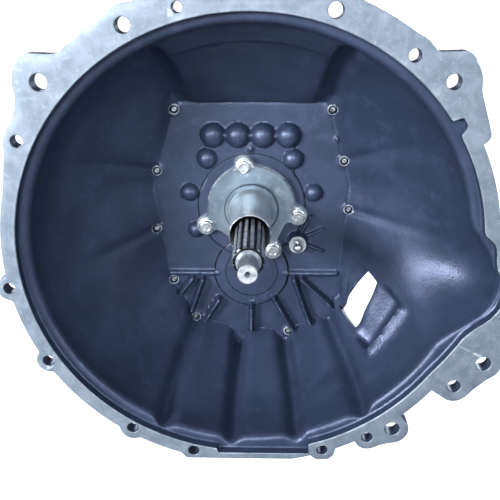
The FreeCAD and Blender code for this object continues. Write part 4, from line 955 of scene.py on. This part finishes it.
@dataclass(frozen=True)
class Finish:
    """A metal or paint finish: two tones mixed by clouds, grain bump, wear on edges, a painted highlight on
    side faces, and darker rings (painted shade in creases and grooves on the casting and the retainer).
    """

    name: str
    dark: tuple
    light: tuple
    # colour of worn edges, also used as the painted highlight on side faces
    worn_and_side_highlight: tuple
    metallic: float
    roughness: float
    roughness_spread: float
    grain_size: float
    bump: float
    mottle_scale: float = 60.0
    wear: float = 0.5
    # colour of the darker rings; on the casting and the retainer it is painted shade
    dark_ring_colour: tuple = (0.008, 0.010, 0.014)
    rings: tuple = ()
    # strength of the painted highlight on side faces
    sides: float = 0.0
    bloom_gain: float = 1.12
    relief_depth: float = 0.6

    def material(self, groups: Groups) -> bpy.types.Material:
        """Build the material.

        Args:
            groups: shared effects.

        Returns:
            The material.
        """
        material = bpy.data.materials.new(self.name)
        material.use_nodes = True
        tree = material.node_tree
        shader = tree.nodes["Principled BSDF"]
        shader.inputs["Metallic"].default_value = self.metallic
        grain = self.effect(tree, groups.grain, {"Size": self.grain_size})
        stains = self.effect(tree, groups.stains, {"Scale": self.mottle_scale})
        wear = self.effect(tree, groups.wear, {"Amount": self.wear})
        colour = self.mix(tree, self.dark, self.light, stains.outputs["Stain"])
        bloomed = tuple(self.bloom_gain * value for value in self.light)
        colour = self.mix(tree, colour, bloomed, stains.outputs["Bloom"])
        colour = self.mix(tree, colour, self.worn_and_side_highlight, wear.outputs["Mask"])
        # Painted highlight: faces turned sideways get the light worn colour.
        if self.sides:
            mask = self.effect(tree, groups.sides, {"Amount": self.sides}).outputs["Mask"]
            colour = self.mix(tree, colour, self.worn_and_side_highlight, mask)
        # Darker rings: on the casting and the retainer they are painted shade in creases and grooves.
        for ring in self.rings:
            values = {"Centre Z": ring.height * MM, "Inner": ring.inner * MM, "Outer": ring.outer * MM,
                      "Front": ring.front * MM, "Rear": ring.rear * MM, "Strength": ring.strength}
            mask = self.effect(tree, groups.ring, values).outputs["Mask"]
            colour = self.mix(tree, colour, self.dark_ring_colour, mask)
        tree.links.new(colour, shader.inputs["Base Color"])
        rough = tree.nodes.new("ShaderNodeMapRange")
        rough.inputs["To Min"].default_value = self.roughness - self.roughness_spread
        rough.inputs["To Max"].default_value = self.roughness + self.roughness_spread
        rough.inputs["From Min"].default_value = 0.3
        rough.inputs["From Max"].default_value = 0.7
        tree.links.new(grain.outputs["Mottle"], rough.inputs["Value"])
        tree.links.new(rough.outputs["Result"], shader.inputs["Roughness"])
        relief = tree.nodes.new("ShaderNodeBump")
        relief.inputs["Strength"].default_value = self.bump
        relief.inputs["Distance"].default_value = self.relief_depth * MM
        tree.links.new(grain.outputs["Height"], relief.inputs["Height"])
        tree.links.new(relief.outputs["Normal"], shader.inputs["Normal"])
        return material

    @staticmethod
    def effect(tree: bpy.types.NodeTree, group: bpy.types.NodeTree, values: dict) -> bpy.types.Node:
        """Place a shared effect in a material with its own values.

        Args:
            tree: the material's nodes.
            group: the shared effect.
            values: number for each named input.

        Returns:
            The group node.
        """
        node = tree.nodes.new("ShaderNodeGroup")
        node.node_tree = group
        for label, value in values.items():
            node.inputs[label].default_value = value
        return node

    @staticmethod
    def mix(tree: bpy.types.NodeTree, first: object, second: tuple,
            mask: bpy.types.NodeSocket) -> bpy.types.NodeSocket:
        """Add a colour mix driven by a mask.

        Args:
            tree: the material's nodes.
            first: colour, or the socket of one, where the mask is 0.
            second: colour where the mask is 1.
            mask: the mask.

        Returns:
            The mixed colour's socket.
        """
        node = tree.nodes.new("ShaderNodeMixRGB")
        if isinstance(first, bpy.types.NodeSocket):
            tree.links.new(first, node.inputs["Color1"])
        else:
            node.inputs["Color1"].default_value = (*first, 1.0)
        node.inputs["Color2"].default_value = (*second, 1.0)
        tree.links.new(mask, node.inputs["Fac"])
        return node.outputs["Color"]


class FinishName(Enum):
    """The finishes of the gearbox."""

    # The three rings are painted shade: at the edge of the plug boss, round the plug and at the step of the
    # retainer's seat.
    PAINT = Finish(
        "slate_paint_on_casting", (0.034, 0.046, 0.082), (0.046, 0.062, 0.108), (0.20, 0.26, 0.36),
        metallic=0.40, roughness=0.41, roughness_spread=0.05, grain_size=520.0, bump=0.80,
        mottle_scale=16.0, wear=0.40, dark_ring_colour=(0.004, 0.005, 0.008),
        rings=(Ring(-74.0, 39.0, 40.8, 120.0), Ring(-74.0, 27.2, 28.6, 120.0), Ring(0.0, 55.6, 57.0, 120.0)))
    MACHINED = Finish(
        "machined_flange_face", (0.115, 0.142, 0.175), (0.165, 0.195, 0.235), (0.50, 0.55, 0.61),
        metallic=0.30, roughness=0.52, roughness_spread=0.08, grain_size=1500.0, bump=0.16,
        mottle_scale=52.0, wear=0.6)
    CAST = Finish(
        "bare_cast_aluminium", (0.30, 0.31, 0.33), (0.44, 0.45, 0.47), (0.70, 0.71, 0.73),
        metallic=0.7, roughness=0.55, roughness_spread=0.10, grain_size=800.0, bump=0.45,
        mottle_scale=24.0, wear=0.5)
    # Satin alloy: painted highlight on its side faces, and two thin rings of painted shade round the shaft
    # axis.
    SATIN = Finish(
        "satin_alloy", (0.15, 0.19, 0.235), (0.22, 0.27, 0.315), (0.75, 0.80, 0.80),
        metallic=0.75, roughness=0.38, roughness_spread=0.07, grain_size=2400.0, bump=0.05,
        mottle_scale=30.0, wear=0.9, dark_ring_colour=(0.02, 0.025, 0.03),
        rings=(Ring(0.0, 27.2, 28.2, 125.0), Ring(0.0, 24.0, 24.7, 125.0)), sides=0.5)
    ZINC = Finish(
        "zinc_plated_steel", (0.36, 0.39, 0.41), (0.52, 0.55, 0.57), (0.85, 0.87, 0.88),
        metallic=0.9, roughness=0.32, roughness_spread=0.07, grain_size=2500.0, bump=0.06,
        mottle_scale=120.0, wear=0.8)
    STEEL = Finish(
        "turned_steel", (0.36, 0.37, 0.39), (0.52, 0.53, 0.55), (0.80, 0.81, 0.83),
        metallic=0.85, roughness=0.28, roughness_spread=0.08, grain_size=2600.0, bump=0.04,
        mottle_scale=90.0, wear=0.5)
    # The rings darken the splines from 12 mm before the flange face inward, and a band from 12 to 7.4 mm
    # before it, out to 20 mm from the axis.
    SPLINED = Finish(
        "splined_steel", (0.24, 0.27, 0.31), (0.36, 0.39, 0.43), (0.70, 0.72, 0.74),
        metallic=0.7, roughness=0.34, roughness_spread=0.07, grain_size=2600.0, bump=0.04,
        mottle_scale=90.0, wear=0.9, dark_ring_colour=(0.010, 0.011, 0.013),
        rings=(Ring(0.0, 10.9, 13.4, -12.0), Ring(0.0, 10.9, 20.0, -12.0, -7.4, 0.8)))
    PHOSPHATED = Finish(
        "phosphated_steel", (0.05, 0.055, 0.065), (0.085, 0.09, 0.105), (0.45, 0.47, 0.50),
        metallic=0.7, roughness=0.42, roughness_spread=0.07, grain_size=2500.0, bump=0.08,
        mottle_scale=120.0, wear=0.9)
    RUBBER = Finish(
        "seal_rubber", (0.012, 0.012, 0.013), (0.025, 0.025, 0.027), (0.06, 0.06, 0.06),
        metallic=0.0, roughness=0.60, roughness_spread=0.08, grain_size=1600.0, bump=0.20,
        mottle_scale=60.0, wear=0.2)
    FLOOR = Finish(
        "pale_floor", (0.24, 0.25, 0.26), (0.28, 0.28, 0.29), (0.9, 0.9, 0.9),
        metallic=0.0, roughness=0.75, roughness_spread=0.05, grain_size=500.0, bump=0.02,
        mottle_scale=3.0, wear=0.0)


def dress_nodes(materials: dict) -> None:
    """Give every carried-over node its finish.

    Args:
        materials: material of each finish name.
    """
    by_slot = {
        "painted_casting": FinishName.PAINT, "cast_aluminium": FinishName.CAST,
        "satin_alloy": FinishName.SATIN, "zinc_steel": FinishName.ZINC,
        "seal_rubber": FinishName.RUBBER, "turned_steel": FinishName.STEEL,
    }
    slots = {part["node"]: part["material_slot"] for part in frame["record"]["subparts"]}
    for name, node in frame["nodes"].items():
        finish = FinishName.SPLINED if name == "input_shaft" else by_slot[slots[name]]
        for index in range(len(node.material_slots)):
            node.material_slots[index].material = materials[finish]
        if not node.material_slots:
            node.data.materials.append(materials[finish])


# ---------------------------------------------------------------- studio
@dataclass
class Studio:
    """Pale floor, soft lights and the camera."""

    eye: tuple = (0.012, -0.5563, 0.2248)
    lens: float = 50.47
    tilt: float = 0.65
    turn: float = 1.116
    sensor: float = 36.0
    floor_drop: float = 0.004
    floor_reach: float = 14.0
    world_strength: float = 0.10
    # name, place, aim, side, power and tint of each soft light
    lights: tuple = (
        ("key", (-1.1, -1.0, 0.42), (0.06, 0.06, -0.02), 0.35, 44.0, (0.95, 0.97, 1.0)),
        ("fill", (1.2, -1.1, 0.45), (-0.05, 0.05, 0.0), 0.6, 11.0, (0.90, 0.94, 1.0)),
        ("front", (-0.12, -1.35, 0.62), (0.0, 0.1, -0.02), 0.40, 20.0, (0.92, 0.96, 1.0)),
        ("top", (0.0, 0.25, 1.7), (0.0, 0.2, 0.0), 0.8, 16.0, (0.95, 0.97, 1.0)),
        ("rear_left", (-1.3, 1.6, 0.9), (0.0, 0.3, 0.0), 0.8, 34.0, (0.95, 0.97, 1.0)),
        ("rear_right", (1.3, 1.7, 0.6), (0.0, 0.3, 0.0), 0.8, 24.0, (0.92, 0.96, 1.0)),
    )

    def area(self, name: str, place: tuple, aim: tuple, size: float, power: float, tint: tuple) -> None:
        """Add a square soft light that faces a point.

        Args:
            name: name of the light.
            place: where it hangs, in metres.
            aim: the point that it faces.
            size: length of its side.
            power: power in watts.
            tint: colour of its light.
        """
        data = bpy.data.lights.new(name, "AREA")
        data.size = size
        data.energy = power
        data.color = tint
        lamp = bpy.data.objects.new(name, data)
        lamp.location = place
        lamp.rotation_euler = (Vector(aim) - Vector(place)).to_track_quat("-Z", "Y").to_euler()
        bpy.context.scene.collection.objects.link(lamp)

    def floor(self, material: bpy.types.Material) -> None:
        """Lay the floor under the gearbox; it glows only where it is looked at, so that it stays white."""
        low, far = CAD_BOX[0][2] - self.floor_drop, self.floor_reach
        mesh = bpy.data.meshes.new("floor")
        corners = [(-far, -far, low), (far, -far, low), (far, far, low), (-far, far, low)]
        mesh.from_pydata(corners, [], [(0, 1, 2, 3)])
        floor = bpy.data.objects.new("floor", mesh)
        shader = material.node_tree.nodes["Principled BSDF"]
        shader.inputs["Emission Color"].default_value = (1.0, 1.0, 1.0, 1.0)
        seen = material.node_tree.nodes.new("ShaderNodeLightPath")
        material.node_tree.links.new(seen.outputs["Is Camera Ray"], shader.inputs["Emission Strength"])
        floor.data.materials.append(material)
        bpy.context.scene.collection.objects.link(floor)

    def camera(self) -> None:
        """Set up the camera: it looks at the shaft from above, with a small tilt and turn."""
        data = bpy.data.cameras.new("camera")
        data.lens = self.lens
        data.sensor_width = self.sensor
        camera = bpy.data.objects.new("camera", data)
        camera.location = self.eye
        pitch = math.atan2(-self.eye[2], -self.eye[1]) + math.radians(self.tilt)
        camera.rotation_euler = (math.pi / 2.0 + pitch, 0.0, math.radians(self.turn))
        bpy.context.scene.collection.objects.link(camera)
        bpy.context.scene.camera = camera

    def build(self, material: bpy.types.Material) -> None:
        """Build the floor, the lights, the world and the camera.

        Args:
            material: finish of the floor.
        """
        self.floor(material)
        bpy.context.scene.view_settings.view_transform = "Standard"
        bpy.context.scene.view_settings.look = "Medium High Contrast"
        world = bpy.data.worlds.new("studio")
        world.use_nodes = True
        background = world.node_tree.nodes["Background"]
        background.inputs["Color"].default_value = (0.93, 0.96, 1.0, 1.0)
        background.inputs["Strength"].default_value = self.world_strength
        bpy.context.scene.world = world
        for light in self.lights:
            self.area(*light)
        self.camera()


def main() -> None:
    """Build the sub-assemblies in order and report each one."""
    groups = Groups()
    materials = {name: name.value.material(groups) for name in FinishName}
    dress_nodes(materials)
    housing = BellHousing()
    bell = housing.build(materials[FinishName.PAINT], materials[FinishName.MACHINED])
    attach(bell, "housing")
    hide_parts("bell_housing")
    log.info("bell casting: %d faces", len(bell.data.polygons))
    sets = (("retainer_bolt_set", "retainer_bolts", housing.retainer_bolts, True, FinishName.ZINC),
            ("case_bolt_set", "case_bolts", housing.case_bolts, False, FinishName.PHOSPHATED))
    for name, node, places, from_front, finish in sets:
        low, high = (corner[1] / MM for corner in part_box(node))
        head, tip = (low, high) if from_front else (high, low)
        bolts = FlangedBolts(name, node, places, head, tip).build(materials[finish])
        log.info("%s: %d faces", name, len(bolts.data.polygons))
    Studio().build(materials[FinishName.FLOOR])


if __name__ == "__main__":
    logging.basicConfig(level=logging.INFO, format="%(name)s: %(message)s")
    main()
